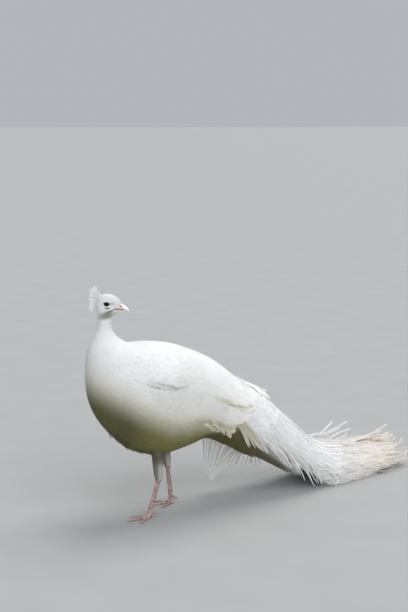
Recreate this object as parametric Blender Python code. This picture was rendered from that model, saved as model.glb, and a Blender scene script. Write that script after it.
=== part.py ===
"""White peafowl, a young cock standing in mid stride and looking back over its left shoulder.

Metres, +Z up. The bird faces -X, its left side is -Y, and it stands on z = 0.
The body is one form: rings between a breast or belly point and a nape or back point, from the neck to
the end of the train. Neck, torso, tail and train are lengths of that form, and the feathers lie along it.
"""

import math
import random

import bmesh
import bpy
import numpy as np
from mathutils import Matrix, Vector

# Driving sizes
GAP = 0.0003  # between two parts that touch
FLOOR = 0.0
FEATHER_THICK = 0.0012  # along a flight feather's middle
BARB_THICK = 0.0014  # of a loose hanging feather
LENGTH_OF_RING = 0.045  # metres, roughly, from one ring of the form to the next

# The form's rings: name, front (x, z), back (x, z), half width, sideways shift
RINGS = (
    ("neck_top", (-0.1995, 0.6210), (-0.1585, 0.6210), 0.0205, 0.0),
    ("neck_thin", (-0.2010, 0.590), (-0.1560, 0.586), 0.0222, 0.0),
    ("neck_flare", (-0.2150, 0.558), (-0.1320, 0.556), 0.0360, 0.0),
    ("neck_base", (-0.2310, 0.520), (-0.0900, 0.537), 0.0600, 0.0),
    ("crop", (-0.2370, 0.460), (-0.0400, 0.538), 0.0830, 0.0),
    ("breast", (-0.2300, 0.380), (0.0100, 0.532), 0.1030, 0.0),
    ("keel", (-0.2030, 0.315), (0.0550, 0.521), 0.1140, 0.0),
    ("belly", (-0.1570, 0.258), (0.0980, 0.504), 0.1180, 0.0),
    ("middle", (-0.1000, 0.210), (0.1370, 0.487), 0.1160, 0.0),
    ("loin", (-0.0150, 0.186), (0.1760, 0.466), 0.1090, 0.0),
    ("flank", (0.0700, 0.198), (0.2150, 0.438), 0.0980, 0.0),
    ("vent", (0.1480, 0.216), (0.2600, 0.402), 0.0880, 0.002),
    ("tail_root", (0.2200, 0.188), (0.3200, 0.360), 0.0860, 0.006),
    ("tail_fan", (0.3050, 0.140), (0.3950, 0.304), 0.0880, 0.014),
    ("tail_end", (0.4050, 0.085), (0.4700, 0.238), 0.0920, 0.026),
    ("train_bend", (0.5150, 0.020), (0.5500, 0.168), 0.0980, 0.044),
    ("train_lies", (0.6350, -0.070), (0.6450, 0.126), 0.1060, 0.066),
    ("train_back", (0.7600, -0.078), (0.7600, 0.104), 0.1060, 0.090),
    ("train_thin", (0.8700, -0.066), (0.8700, 0.086), 0.0980, 0.112),
    ("train_tip", (0.9650, -0.050), (0.9650, 0.066), 0.0820, 0.130),
)
RING = {ring[0]: index for index, ring in enumerate(RINGS)}
RING_VALUES = np.array([(*front, *back, width, shift) for _, front, back, width, shift in RINGS])

# Head: its own frame has its origin at the top of the neck and +X along the bill
HEAD_AT = Vector((-0.179, 0.0, 0.6210 + GAP))
HEAD_TURN = math.radians(-36)  # from +X, so the bird looks back past its left shoulder
HEAD_RINGS = (
    # back (x, z), front (x, z), half width
    ((-0.0205, 0.0000), (0.0210, 0.0000), 0.0205),
    ((-0.0212, 0.0120), (0.0290, 0.0085), 0.0195),
    ((-0.0222, 0.0240), (0.0400, 0.0165), 0.0184),
    ((-0.0226, 0.0345), (0.0470, 0.0275), 0.0178),
    ((-0.0213, 0.0450), (0.0530, 0.0385), 0.0174),
    ((-0.0180, 0.0560), (0.0515, 0.0480), 0.0165),
    ((-0.0110, 0.0650), (0.0440, 0.0590), 0.0143),
    ((-0.0020, 0.0695), (0.0330, 0.0665), 0.0105),
)
HEAD_TABLE = np.array([(*back, *front, width) for back, front, width in HEAD_RINGS])
HEAD_POLE = (0.0160, 0.0, 0.0718)
FACE_TAPER = 0.40  # how much narrower the face is than the back of the head
EYE_AT = Vector((0.0117, 0.0125, 0.0434))
EYE_RADIUS = 0.0080
LID_LONG, LID_HIGH, LID_THICK = 0.0078, 0.0063, 0.0013
UPPER_BILL = (
    # x, ridge z, cutting edge z, half width
    (0.0340, 0.0480, 0.0280, 0.0088),
    (0.0460, 0.0455, 0.0278, 0.0087),
    (0.0550, 0.0420, 0.0274, 0.0077),
    (0.0625, 0.0380, 0.0268, 0.0062),
    (0.0690, 0.0331, 0.0258, 0.0044),
    (0.0735, 0.0280, 0.0238, 0.0024),
)
UPPER_TIP = (0.0764, 0.0, 0.0207)
LOWER_BILL = (
    # x, cutting edge z, keel z, half width
    (0.0340, 0.0274, 0.0150, 0.0080),
    (0.0460, 0.0272, 0.0178, 0.0077),
    (0.0560, 0.0267, 0.0200, 0.0063),
    (0.0640, 0.0258, 0.0218, 0.0042),
)
LOWER_TIP = (0.0712, 0.0, 0.0236)
GAPE_AT = (0.0290, 0.0, 0.0268)
GAPE_SIZE = (0.0100, 0.0300, 0.0006)
GAPE_DROOP = math.radians(-14)  # the corner of the mouth turns down
NOSTRIL_AT = (0.0505, 0.0085, 0.0362)
NOSTRIL_SIZE = (0.0055, 0.0022, 0.0015)
NOSTRIL_SLOPE = math.radians(24)

# Crest: shafts in a fan, whose small vanes stand in one upright row
CREST_COUNT = 15
CREST_ROOTS = ((-0.0060, 0.0650), (-0.0190, 0.0500))
CREST_TIPS = ((-0.0330, 0.0935), (-0.0450, 0.0800), (-0.0470, 0.0600), (-0.0460, 0.0420), (-0.0420, 0.0235))
CREST_SINK = 0.006
CREST_SPREAD = 0.004  # sideways, from one shaft to the next

# Legs, left and right
HIP = {"left": (-0.036, -0.056, 0.262), "right": (0.030, 0.056, 0.262)}
HOCK = {"left": (-0.029, -0.053, 0.118), "right": (0.053, 0.052, 0.123)}
ANKLE = {"left": (-0.0545, -0.050, 0.0320), "right": (0.0620, 0.050, 0.0320)}
FOOT_AT = {"left": (-0.0610, -0.049, 0.0), "right": (0.0630, 0.050, 0.0)}
FOOT_TURN = {"left": math.radians(184), "right": math.radians(176)}
THIGH_PROFILE = (
    # share of the way down, radius across, radius fore and aft
    (0.00, 0.024, 0.030),
    (0.30, 0.020, 0.024),
    (0.50, 0.0150, 0.0170),
    (0.70, 0.0138, 0.0156),
    (0.85, 0.0124, 0.0140),
    (0.95, 0.0106, 0.0120),
    (1.00, 0.0078, 0.0092),
)
FOOT_PROFILE = (
    # share of the way down, radius, how level
    (0.00, 0.0070, 0.0),
    (0.35, 0.0072, 0.5),
    (0.66, 0.0084, 1.0),
    (0.88, 0.0090, 1.0),
    (0.97, 0.0080, 1.0),
    (1.00, 0.0062, 1.0),
)
TOE_RADIUS = 0.0050
TOE_SIDES = 7
TOES = (
    # angle from straight ahead, length, pads
    (math.radians(38), 0.050, 2),
    (math.radians(2), 0.066, 3),
    (math.radians(-36), 0.054, 3),
)
HALLUX_ROOT, HALLUX_END = 0.024, 0.013  # heights
HALLUX_LONG = 0.022
CLAW_LONG = 0.011
SPUR_LONG = 0.013
SPUR_SHARE = 0.62  # of the way down the shank
SHANK_ACROSS, SHANK_FORE = 0.0056, 0.0069  # half sizes
HOCK_SWELL, ANKLE_SWELL = 0.0016, 0.0009
SCUTES = 12
SCUTE_RIDGE = 0.00045

# Wings: the arm's pad, seen from the side, then the tiers of feathers that leave it
ARM_TOP = ((-0.095, 0.448), (-0.045, 0.484), (0.020, 0.494), (0.090, 0.474), (0.155, 0.436))
ARM_LOW = ((-0.095, 0.424), (-0.040, 0.388), (0.020, 0.350), (0.080, 0.320), (0.140, 0.302))
ARM_BURIED, ARM_PROUD = 0.0045, 0.0125
ARM_THIN_END, ARM_THIN_EDGE = 0.35, 0.25  # of its fullest height
TIERS = (
    # name, count, roots, tips, width, lift of root and tip, sag
    (
        "primary", 4,
        ((0.020, 0.372), (0.050, 0.358), (0.075, 0.350)),
        ((0.105, 0.268), (0.160, 0.248), (0.218, 0.246)),
        0.030, (0.0034, 0.0036), 0.006,
    ),
    (
        "secondary", 8,
        ((0.050, 0.345), (0.080, 0.362), (0.100, 0.384), (0.112, 0.408), (0.118, 0.430)),
        ((0.185, 0.264), (0.250, 0.268), (0.282, 0.292), (0.305, 0.330), (0.315, 0.356)),
        0.034, (0.0054, 0.0068), 0.004,
    ),
    (
        "greater_covert", 7,
        ((-0.012, 0.372), (0.008, 0.396), (0.022, 0.424), (0.030, 0.452)),
        ((0.100, 0.300), (0.140, 0.330), (0.162, 0.370), (0.170, 0.414)),
        0.034, (0.0076, 0.0114), 0.003,
    ),
    (
        "median_covert", 6,
        ((-0.055, 0.404), (-0.038, 0.426), (-0.026, 0.450), (-0.016, 0.472)),
        ((0.026, 0.350), (0.058, 0.384), (0.074, 0.420), (0.080, 0.458)),
        0.032, (0.0088, 0.0148), 0.002,
    ),
)
VANE_TILT = 0.0012  # how far a vane's lower edge stands above its middle
LOOSE_WING = {-1: (0.0, 0.0), 1: (0.030, 0.012)}  # the right wing's last feathers: longer, further out

# Train: layers of long feathers, from the shortest outer one to the longest
TRAIN_LAYERS = (
    # last ring, count, widest angle of a tip, ring of the roots
    (13.3, 11, 114, 11.05),
    (14.4, 11, 110, 11.16),
    (15.6, 11, 102, 11.28),
    (16.8, 10, 90, 11.40),
    (18.0, 10, 84, 11.52),
    (19.0, 9, 78, 11.64),
)
TRAIN_GRID = (12.1, 12.9, 13.6, 14.2, 14.8, 15.4, 16.0, 16.9, 18.0)  # where every layer bends alike
TRAIN_VANE = 0.44  # half a vane's width, of the angle between two feathers
FAN_RATE = 1.8  # a feather reaches its tip's angle well before its tip
STAGGER = 0.25  # of the angle between two feathers, from one layer to the next
LAYER_STEP = 0.048  # of the ring's size, from one layer to the next
LAYER_RISE = (-0.5, 0.7)  # rings over which a layer comes up after the one above has ended
WIDEST_ROOT = math.radians(80)
ROOT_SINK = 0.20  # of the ring's size, that a root lies in the flesh
RAGGED = 0.55  # rings by which a feather may fall short
SIDE_DROOP = 0.030  # how far the feathers at the sides hang down at their tips
STRAYS = (
    # ring of the root, angle, then (x, y, z) of its bend and of its tip
    (15.6, 20, (0.700, 0.105, 0.150), (0.785, 0.120, 0.178)),
    (16.9, -12, (0.830, 0.085, 0.120), (0.895, 0.085, 0.172)),
    (17.6, 25, (0.900, 0.150, 0.115), (0.985, 0.170, 0.120)),
)

# Tail: the stiff feathers under the train, the coverts below them, and loose ones on the right
TAIL_FROM = RING["vent"]
CORE_TO = RING["tail_fan"] - 0.2
SEAM_ANGLE = math.radians(104)
TAIL_LAYERS = (
    # ring scale, first and last ring, count, first and last angle
    (0.85, 11.70, 15.1, 6, 130, 230),
    (0.92, 11.50, 14.8, 5, 132, 228),
    (0.99, 11.25, 13.4, 6, 134, 226),
)
TAIL_VANE = 0.45  # half a vane's width, of the angle between two feathers
TAIL_ROUNDING = 0.35  # rings, by which a feather one radian off the middle is shorter
LOOSE_COUNT = 6
LOOSE_ROOTS = (11.30, 12.50)
LOOSE_ANGLE = math.radians(146)
LOOSE_TIPS = ((0.200, 0.092, 0.070), (0.238, 0.112, 0.036), (0.345, 0.118, 0.050))
LOOSE_SWEEP = ((0.010, 0.006, 0.0), (0.060, 0.016, 0.012))

FINISHES = {
    # colour, roughness
    "plumage": ((0.86, 0.85, 0.81), 0.85),
    "flight_feather": ((0.88, 0.87, 0.83), 0.70),
    "bare_skin": ((0.80, 0.74, 0.72), 0.60),
    "bill_horn": ((0.86, 0.72, 0.64), 0.45),
    "eye": ((0.02, 0.012, 0.012), 0.08),
    "leg_scale": ((0.70, 0.55, 0.52), 0.60),
}


def clear_scene():
    for obj in list(bpy.data.objects):
        bpy.data.objects.remove(obj)


def material(name):
    """The named finish as a Principled material, made once."""
    found = bpy.data.materials.get(name)
    if found:
        return found
    colour, roughness = FINISHES[name]
    made = bpy.data.materials.new(name)
    made.use_nodes = True
    shader = made.node_tree.nodes["Principled BSDF"]
    shader.inputs["Base Color"].default_value = (*colour, 1)
    shader.inputs["Roughness"].default_value = roughness
    shader.inputs["Metallic"].default_value = 0
    made.diffuse_color = (*colour, 1)
    return made


# Curves
def spline(table, t):
    """Row t of a table of numbers, on a smooth curve through its rows."""
    last = len(table) - 1
    t = min(max(t, 0.0), float(last))
    i = min(int(t), last - 1)
    u = t - i
    a, b = table[i], table[i + 1]
    before = table[i - 1] if i > 0 else 2 * a - b
    after = table[i + 2] if i + 2 <= last else 2 * b - a
    bend = (2 * before - 5 * a + 4 * b - after) * u**2 + (3 * a - before - 3 * b + after) * u**3
    return 0.5 * (2 * a + (b - before) * u + bend)


def along(points, share):
    """The place at that share of the way along a smooth curve through the points."""
    return spline(np.array(points, float), share * (len(points) - 1))


def eased(value, low, high):
    share = min(max((value - low) / (high - low), 0.0), 1.0)
    return share * share * (3 - 2 * share)


# The body's form
def form_point(t, angle, lift=0.0, scale=1.0):
    """A point of the form at ring t. Angle 0 is the back, +90 degrees the right side and 180 the belly.
    Lift is a height above the form, and scale sizes the ring about its middle."""
    front_x, front_z, back_x, back_z, width, shift = spline(RING_VALUES, t)
    chord = Vector((back_x - front_x, 0, back_z - front_z))
    middle = Vector(((front_x + back_x) / 2, shift, (front_z + back_z) / 2))
    up = chord.normalized() * (chord.length / 2 * scale + lift) * math.cos(angle)
    side = Vector((0, 1, 0)) * (width * scale + lift) * math.sin(angle)
    return middle + up + side


def ring_at(x, z):
    """(ring, angle) of the form's right side at a place seen from the side."""
    low, high = float(RING["neck_flare"]), float(RING["train_tip"])
    for _ in range(30):
        t = (low + high) / 2
        front_x, front_z, back_x, back_z, _, _ = spline(RING_VALUES, t)
        ahead = (back_x - front_x) * (z - front_z) - (back_z - front_z) * (x - front_x)
        low, high = (low, t) if ahead > 0 else (t, high)
    chord = (back_x - front_x, back_z - front_z)
    share = ((x - front_x) * chord[0] + (z - front_z) * chord[1]) / (chord[0] ** 2 + chord[1] ** 2)
    return t, math.acos(min(max(2 * share - 1, -0.995), 0.995))


def side_point(side, x, z, lift):
    """A point over the body's left (-1) or right (+1) side, seen at x, z."""
    t, angle = ring_at(x, z)
    return form_point(t, side * angle, lift)


# Closed meshes
def mesh_object(name, points, faces, finish):
    mesh = bpy.data.meshes.new(name)
    mesh.from_pydata([tuple(p) for p in points], [], faces)
    body = bmesh.new()
    body.from_mesh(mesh)
    bmesh.ops.recalc_face_normals(body, faces=body.faces)
    if body.calc_volume(signed=True) < 0:
        bmesh.ops.reverse_faces(body, faces=body.faces)
    body.to_mesh(mesh)
    body.free()
    mesh.materials.append(material(finish))
    obj = bpy.data.objects.new(name, mesh)
    bpy.context.scene.collection.objects.link(obj)
    return obj


def tube(name, rings, finish, start_pole=None, end_pole=None):
    """A closed skin through rings of points. Each end is a flat cap, or is drawn to a pole.
    Odd strips are split the other way, so that a thin tube has like triangles on both its faces."""
    count = len(rings[0])
    points = [p for ring in rings for p in ring]
    faces = []
    for i in range(len(rings) - 1):
        for j in range(count):
            k = (j + 1) % count
            a, b, c, d = i * count + j, i * count + k, (i + 1) * count + k, (i + 1) * count + j
            faces += [(a, b, c), (a, c, d)] if j % 2 == 0 else [(a, b, d), (b, c, d)]
    for first, pole in ((0, start_pole), ((len(rings) - 1) * count, end_pole)):
        if pole is None:
            faces.append(tuple(range(first, first + count)))
            continue
        points.append(pole)
        faces += [(first + j, first + (j + 1) % count, len(points) - 1) for j in range(count)]
    return mesh_object(name, points, faces, finish)


def circle(centre, across, fore, sides):
    """A ring of points about a centre, from its two half axes."""
    turns = [math.tau * j / sides for j in range(sides)]
    return [centre + across * math.sin(a) + fore * math.cos(a) for a in turns]


def feather(name, place, profile, thick=FEATHER_THICK, finish="flight_feather"):
    """A vane with a shaft thicker than its edges. Place(share, edge) gives its middle surface, where share
    runs from root to tip and edge across it, and profile lists (share, width)."""
    rings = []
    for share, width in profile:
        left, middle, right = (place(share, edge * width) for edge in (-1, 0, 1))
        ahead = place(min(share + 0.02, 1.0), 0) - place(share - 0.02, 0)
        up = (right - left).cross(ahead).normalized() * thick / 2
        middle.z = max(middle.z, FLOOR + thick)
        left.z, right.z = max(left.z, FLOOR), max(right.z, FLOOR)
        rings.append([left, middle + up, right, middle - up])
    tip = place(1.0, 0)
    tip.z = max(tip.z, FLOOR + thick / 2)
    return tube(name, rings, finish, end_pole=tip)


SHORT_FEATHER = ((0.0, 0.45), (0.30, 0.85), (0.62, 1.0), (0.86, 0.86), (0.96, 0.48))
LOOSE_FEATHER = ((0.0, 0.35), (0.30, 0.80), (0.60, 1.0), (0.85, 0.60))


def largest_body(mesh):
    """Keeps the mesh's largest closed surface."""
    body = bmesh.new()
    body.from_mesh(mesh)
    left = set(body.faces)
    groups = []
    while left:
        stack = [left.pop()]
        group = list(stack)
        while stack:
            for edge in stack.pop().edges:
                for face in edge.link_faces:
                    if face in left:
                        left.remove(face)
                        stack.append(face)
                        group.append(face)
        groups.append(group)
    groups.sort(key=lambda faces: sum(face.calc_area() for face in faces))
    for group in groups[:-1]:
        bmesh.ops.delete(body, geom=group, context="FACES")
    loose = [v for v in body.verts if not v.link_faces]
    bmesh.ops.delete(body, geom=loose, context="VERTS")
    body.to_mesh(mesh)
    body.free()


def apply_boolean(obj, others, operation):
    """Joins the others to obj, or cuts them from it, and removes them."""
    group = bpy.data.collections.new(obj.name + "_pieces")
    bpy.context.scene.collection.children.link(group)
    for other in others:
        group.objects.link(other)
    modifier = obj.modifiers.new("pieces", "BOOLEAN")
    modifier.operation = operation
    modifier.solver = "MANIFOLD"
    modifier.operand_type = "COLLECTION"
    modifier.collection = group
    graph = bpy.context.evaluated_depsgraph_get()
    mesh = bpy.data.meshes.new_from_object(obj.evaluated_get(graph), depsgraph=graph)
    obj.modifiers.clear()
    obj.data = mesh
    for other in others:
        bpy.data.objects.remove(other)
    bpy.data.collections.remove(group)
    largest_body(obj.data)
    return obj


def fuse(obj, pieces):
    return apply_boolean(obj, pieces, "UNION")


def carve(obj, cutters):
    return apply_boolean(obj, cutters, "DIFFERENCE")


def grown(obj, by=GAP):
    """A copy of obj, larger by that much all round, to cut its neighbour with."""
    copy = bpy.data.objects.new(obj.name + "_grown", obj.data.copy())
    bpy.context.scene.collection.objects.link(copy)
    normals = [vertex.normal.copy() for vertex in obj.data.vertices]
    for vertex, normal in zip(copy.data.vertices, normals):
        vertex.co += normal * by
    return copy


# Neck and torso
NECK_SIDES, TORSO_SIDES = 16, 24
TORSO_FROM = RING["neck_base"]


def form_tube(name, first, last, steps, sides):
    rings = []
    for i in range(steps + 1):
        t = first + (last - first) * i / steps
        rings.append([form_point(t, math.tau * j / sides) for j in range(sides)])
    return tube(name, rings, "plumage")


def build_neck():
    return form_tube("neck", 0.0, TORSO_FROM - GAP / LENGTH_OF_RING, 7, NECK_SIDES)


def build_torso():
    return form_tube("torso", TORSO_FROM, TAIL_FROM, 14, TORSO_SIDES)


# Wings
def arm_pad(name, side):
    """The folded arm under the coverts: a lens let into the body's side."""
    steps, rows = 8, 6
    columns = rows + 1
    outer, inner = [], []
    for i in range(steps + 1):
        share = i / steps
        top, low = along(ARM_TOP, share), along(ARM_LOW, share)
        fullness = ARM_THIN_END + (1 - ARM_THIN_END) * math.sin(math.pi * min(0.15 + 0.9 * share, 1.0))
        for j in range(columns):
            x, z = top + (low - top) * j / rows
            bulge = ARM_THIN_EDGE + (1 - ARM_THIN_EDGE) * math.sqrt(max(0.0, 1 - (2 * j / rows - 1) ** 2))
            outer.append(side_point(side, x, z, ARM_PROUD * fullness * bulge))
            inner.append(side_point(side, x, z, -ARM_BURIED))
    back = len(outer)
    faces = []
    for i in range(steps):
        for j in range(rows):
            a = i * columns + j
            b, c, d = a + 1, a + columns + 1, a + columns
            faces += [(a, b, c), (a, c, d)]
            faces += [(back + a, back + c, back + b), (back + a, back + d, back + c)]
    rim = [i * columns for i in range(steps + 1)]
    rim += [steps * columns + j for j in range(1, columns)]
    rim += [i * columns + rows for i in range(steps - 1, -1, -1)]
    rim += [j for j in range(rows - 1, 0, -1)]
    for a, b in zip(rim, rim[1:] + rim[:1]):
        faces += [(a, b, back + b), (a, back + b, back + a)]
    return mesh_object(name, outer + inner, faces, "plumage")


def wing_tier(side, name, count, roots, tips, width, lifts, sag):
    """One tier, from its lowest feather to its highest, each lying over the next one down."""
    feathers = []
    longer, further_out = LOOSE_WING[side] if name == "secondary" else (0.0, 0.0)
    for i in range(count):
        rank = i / (count - 1)
        root, tip = along(roots, rank), along(tips, rank)
        ahead = (tip - root) / np.linalg.norm(tip - root)
        belly = np.array((ahead[1], -ahead[0]))
        tip = tip + ahead * longer * rank
        lift_tip = lifts[1] + further_out * rank

        def place(share, edge, root=root, tip=tip, belly=belly, lift_tip=lift_tip):
            bend = sag * 4 * share * (1 - share) + width / 2 * edge
            x, z = root + (tip - root) * share + belly * bend
            lift = lifts[0] + (lift_tip - lifts[0]) * share + VANE_TILT * edge
            return side_point(side, x, z, lift)

        feathers.append(feather(f"{name}_{i}", place, SHORT_FEATHER))
    return feathers


def build_wing(name, side):
    feathers = [vane for tier in TIERS for vane in wing_tier(side, *tier)]
    return fuse(arm_pad(name, side), feathers)


# Tail and train
def core_scale(t):
    """The flesh thins out under the layers of feathers that leave it."""
    share = (t - TAIL_FROM) / (CORE_TO - TAIL_FROM)
    return 1.0 - 0.62 * max(share, 0.0) ** 1.2


def half_core(name, middle_angle, half_turn, seam_shift):
    """The upper or the lower half of the tail's flesh, flat where the two halves meet."""
    steps, count = 5, 8
    rings = []
    for i in range(steps + 1):
        t = TAIL_FROM + GAP / LENGTH_OF_RING + (CORE_TO - TAIL_FROM) * i / steps
        angles = [middle_angle + half_turn * (2 * j / count - 1) for j in range(count + 1)]
        ring = [form_point(t, angle, 0.0, core_scale(t)) for angle in angles]
        upward = (form_point(t, 0) - form_point(t, math.pi)).normalized()
        ring[0] = ring[0] + upward * seam_shift
        ring[-1] = ring[-1] + upward * seam_shift
        rings.append(ring)
    return tube(name, rings, "plumage")


def layer_scale(layer, t):
    """Size of a train layer's ring at t: it rises to the surface as the layers above it end."""
    above = [end for end, _, _, _ in TRAIN_LAYERS[:layer]]
    return 1.0 - LAYER_STEP * sum(1 - eased(t, end + LAYER_RISE[0], end + LAYER_RISE[1]) for end in above)


def train_feather(layer, i, chance):
    end, count, widest, start = TRAIN_LAYERS[layer]
    pitch = math.radians(2 * widest) / count
    angle = pitch * (i + 0.5 - count / 2) + pitch * STAGGER * (-1) ** layer
    root_angle = WIDEST_ROOT * angle / math.radians(widest)
    reach = end - chance.uniform(0.0, RAGGED)
    sideways = eased(abs(angle), math.radians(70), math.radians(105))

    def place(share, edge):
        t = start + (reach - start) * share
        here = root_angle + (angle - root_angle) * min(1.0, share * FAN_RATE) + pitch * TRAIN_VANE * edge
        scale = layer_scale(layer, t) * (1 - ROOT_SINK * max(0.0, 1 - (t - start) / 0.5))
        point = form_point(t, here, 0.0, scale)
        point.z -= SIDE_DROOP * sideways * max(0.0, share - 0.6) ** 2 / 0.16
        return point

    stations = [start] + [t for t in TRAIN_GRID if start + 0.5 < t < reach - 0.6] + [reach - 0.32]
    shares = [(t - start) / (reach - start) for t in stations]
    profile = [(s, min(1.0, 0.4 + 2.2 * s) * (1 - 0.5 * eased(s, 0.70, 0.95))) for s in shares]
    return feather(f"train_{layer}_{i}", place, profile)


def stray_feather(i, ring, degrees, bend, tip):
    """A loose, thin feather that curls up from the lying train."""
    root = form_point(ring, math.radians(degrees), 0.0, 0.90)
    curve = (root, root.lerp(Vector(bend), 0.5), Vector(bend), Vector(tip))

    def place(share, edge):
        return Vector(along([tuple(p) for p in curve], share)) + Vector((0, 0.004 * edge, 0))

    return feather(f"stray_{i}", place, LOOSE_FEATHER, BARB_THICK)


def build_train():
    """The long upper tail coverts, in layers that each reach further back than the one above."""
    chance = random.Random(7)
    core = half_core("train", 0.0, SEAM_ANGLE, GAP)
    feathers = []
    for layer, (_, count, _, _) in enumerate(TRAIN_LAYERS):
        feathers += [train_feather(layer, i, chance) for i in range(count)]
    strays = [stray_feather(i, *stray) for i, stray in enumerate(STRAYS)]
    return fuse(core, feathers + strays)


def tail_feather(name, scale, start, end, angle, pitch):
    end -= TAIL_ROUNDING * abs(angle - math.pi)

    def place(share, edge):
        t = start + (end - start) * share
        sunk = scale * (1 - ROOT_SINK * max(0.0, 1 - share / 0.30))
        return form_point(t, angle + pitch * TAIL_VANE * edge, 0.0, sunk)

    return feather(name, place, SHORT_FEATHER)


def loose_feather(i):
    """One of the long, open feathers that hang down under the tail's right side."""
    rank = i / (LOOSE_COUNT - 1)
    ring = LOOSE_ROOTS[0] + (LOOSE_ROOTS[1] - LOOSE_ROOTS[0]) * rank
    tip = Vector(along(LOOSE_TIPS, rank))
    root = form_point(ring, LOOSE_ANGLE, 0.0, 0.45)
    leaves = form_point(ring + 0.25, LOOSE_ANGLE, 0.004)
    middle = leaves.lerp(tip, 0.5) + Vector(along(LOOSE_SWEEP, rank))
    curve = [tuple(p) for p in (root, leaves, middle, tip)]

    def place(share, edge):
        return Vector(along(curve, share)) + Vector((0.0055 * edge, 0, 0))

    return feather(f"loose_{i}", place, LOOSE_FEATHER, BARB_THICK)


def build_tail():
    core = half_core("tail", math.pi, math.pi - SEAM_ANGLE, -GAP)
    feathers = []
    for layer, (scale, start, end, count, first, last) in enumerate(TAIL_LAYERS):
        pitch = math.radians(last - first) / count
        for i in range(count):
            angle = math.radians(first) + pitch * (i + 0.5)
            feathers.append(tail_feather(f"rectrix_{layer}_{i}", scale, start, end, angle, pitch))
    return fuse(core, feathers + [loose_feather(i) for i in range(LOOSE_COUNT)])


# Head
def head_point(x, y, z):
    """From the head's own frame to the bird's."""
    return HEAD_AT + Matrix.Rotation(HEAD_TURN, 3, "Z") @ Vector((x, y, z))


def head_ring(t, sides):
    back_x, back_z, front_x, front_z, width = spline(HEAD_TABLE, t)
    ring = []
    for j in range(sides):
        angle = math.tau * j / sides
        share = (1 + math.cos(angle)) / 2  # 1 at the back of the head
        taper = 1 + FACE_TAPER * min(1.0, t / 3) * math.cos(angle)
        x, z = front_x + (back_x - front_x) * share, front_z + (back_z - front_z) * share
        ring.append(head_point(x, width * taper * math.sin(angle), z))
    return ring


def bill_half(name, stations, tip):
    """Upper or lower bill: half rounds between its cutting edges and its ridge or keel."""
    rings = []
    for x, top, low, half in stations:
        edge, far = (low, top) if name == "bill_upper" else (top, low)
        turns = [math.tau * j / 10 for j in range(10)]
        rings.append(
            [head_point(x, half * math.sin(a), edge + (far - edge) * max(0.0, math.cos(a))) for a in turns]
        )
    return tube(name, rings, "bill_horn", end_pole=head_point(*tip))


def ellipsoid(name, centre, sizes, turn, finish, sides=12, rings=7):
    """An egg in the head's frame, tipped by turn in the head's side view."""
    tip = Matrix.Rotation(turn, 3, "Y")
    centre = Vector(centre)
    made = []
    for i in range(1, rings):
        polar = math.pi * i / rings
        reach = centre + tip @ Vector((sizes[0] * math.cos(polar), 0, 0))
        across = Vector((0, sizes[1] * math.sin(polar), 0))
        upward = tip @ Vector((0, 0, sizes[2] * math.sin(polar)))
        made.append([head_point(*p) for p in circle(reach, across, upward, sides)])
    poles = [head_point(*(centre + tip @ Vector((end * sizes[0], 0, 0)))) for end in (1, -1)]
    return tube(name, made, finish, *poles)


def eyelid(side):
    """A raised almond rim round the eye."""
    steps, sides = 14, 5
    points, faces = [], []
    for i in range(steps):
        turn = math.tau * i / steps
        out = Vector((math.cos(turn), 0, math.sin(turn)))
        centre = EYE_AT + Vector((out.x * LID_LONG, 0.0054 - 0.0014 * abs(out.x), out.z * LID_HIGH))
        for p in circle(centre, Vector((0, LID_THICK, 0)), out * LID_THICK, sides):
            points.append(head_point(p.x, p.y * side, p.z))
    for i in range(steps):
        for j in range(sides):
            k, n = (j + 1) % sides, (i + 1) % steps
            faces.append((i * sides + j, i * sides + k, n * sides + k, n * sides + j))
    return mesh_object("lid", points, faces, "bare_skin")


def crest_feather(i):
    """A bare shaft with a small spoon of a vane at its end."""
    rank = i / (CREST_COUNT - 1)
    root, tip = along(CREST_ROOTS, rank), along(CREST_TIPS, rank)
    ahead = (tip - root) / np.linalg.norm(tip - root)
    root = root - ahead * CREST_SINK
    length = np.linalg.norm(tip - root)
    sideways = CREST_SPREAD * math.sin(i * 2.4)
    profile = ((0.0, 0.0009), (0.45, 0.0009), (0.76, 0.0010), (0.84, 0.0034), (0.93, 0.0040))

    def place(share, edge):
        x, z = root + ahead * length * share
        return head_point(x - ahead[1] * edge, sideways * share, z + ahead[0] * edge)

    return feather(f"crest_{i}", place, profile, 0.0011, "plumage")


def build_head():
    rings = [head_ring(t, 18) for t in np.linspace(0, len(HEAD_RINGS) - 1, 11)]
    head = tube("head", rings, "plumage", end_pole=head_point(*HEAD_POLE))
    eyes = [
        ellipsoid(name, (EYE_AT.x, EYE_AT.y * side, EYE_AT.z), (EYE_RADIUS,) * 3, 0, "eye", 12, 7)
        for name, side in (("eye_left", 1), ("eye_right", -1))
    ]
    upper = bill_half("bill_upper", UPPER_BILL, UPPER_TIP)
    lower = bill_half("bill_lower", LOWER_BILL, LOWER_TIP)
    fuse(head, [eyelid(1), eyelid(-1)] + [crest_feather(i) for i in range(CREST_COUNT)])
    mouth = ellipsoid("mouth_line", GAPE_AT, GAPE_SIZE, GAPE_DROOP, "plumage")
    carve(head, [mouth] + [grown(piece) for piece in (*eyes, upper, lower)])
    x, y, z = NOSTRIL_AT
    nostrils = []
    for side in (-1, 1):
        centre = (x, y * side, z)
        nostrils.append(ellipsoid("nostril", centre, NOSTRIL_SIZE, NOSTRIL_SLOPE, "bill_horn", 8, 6))
    carve(upper, nostrils)


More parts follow.
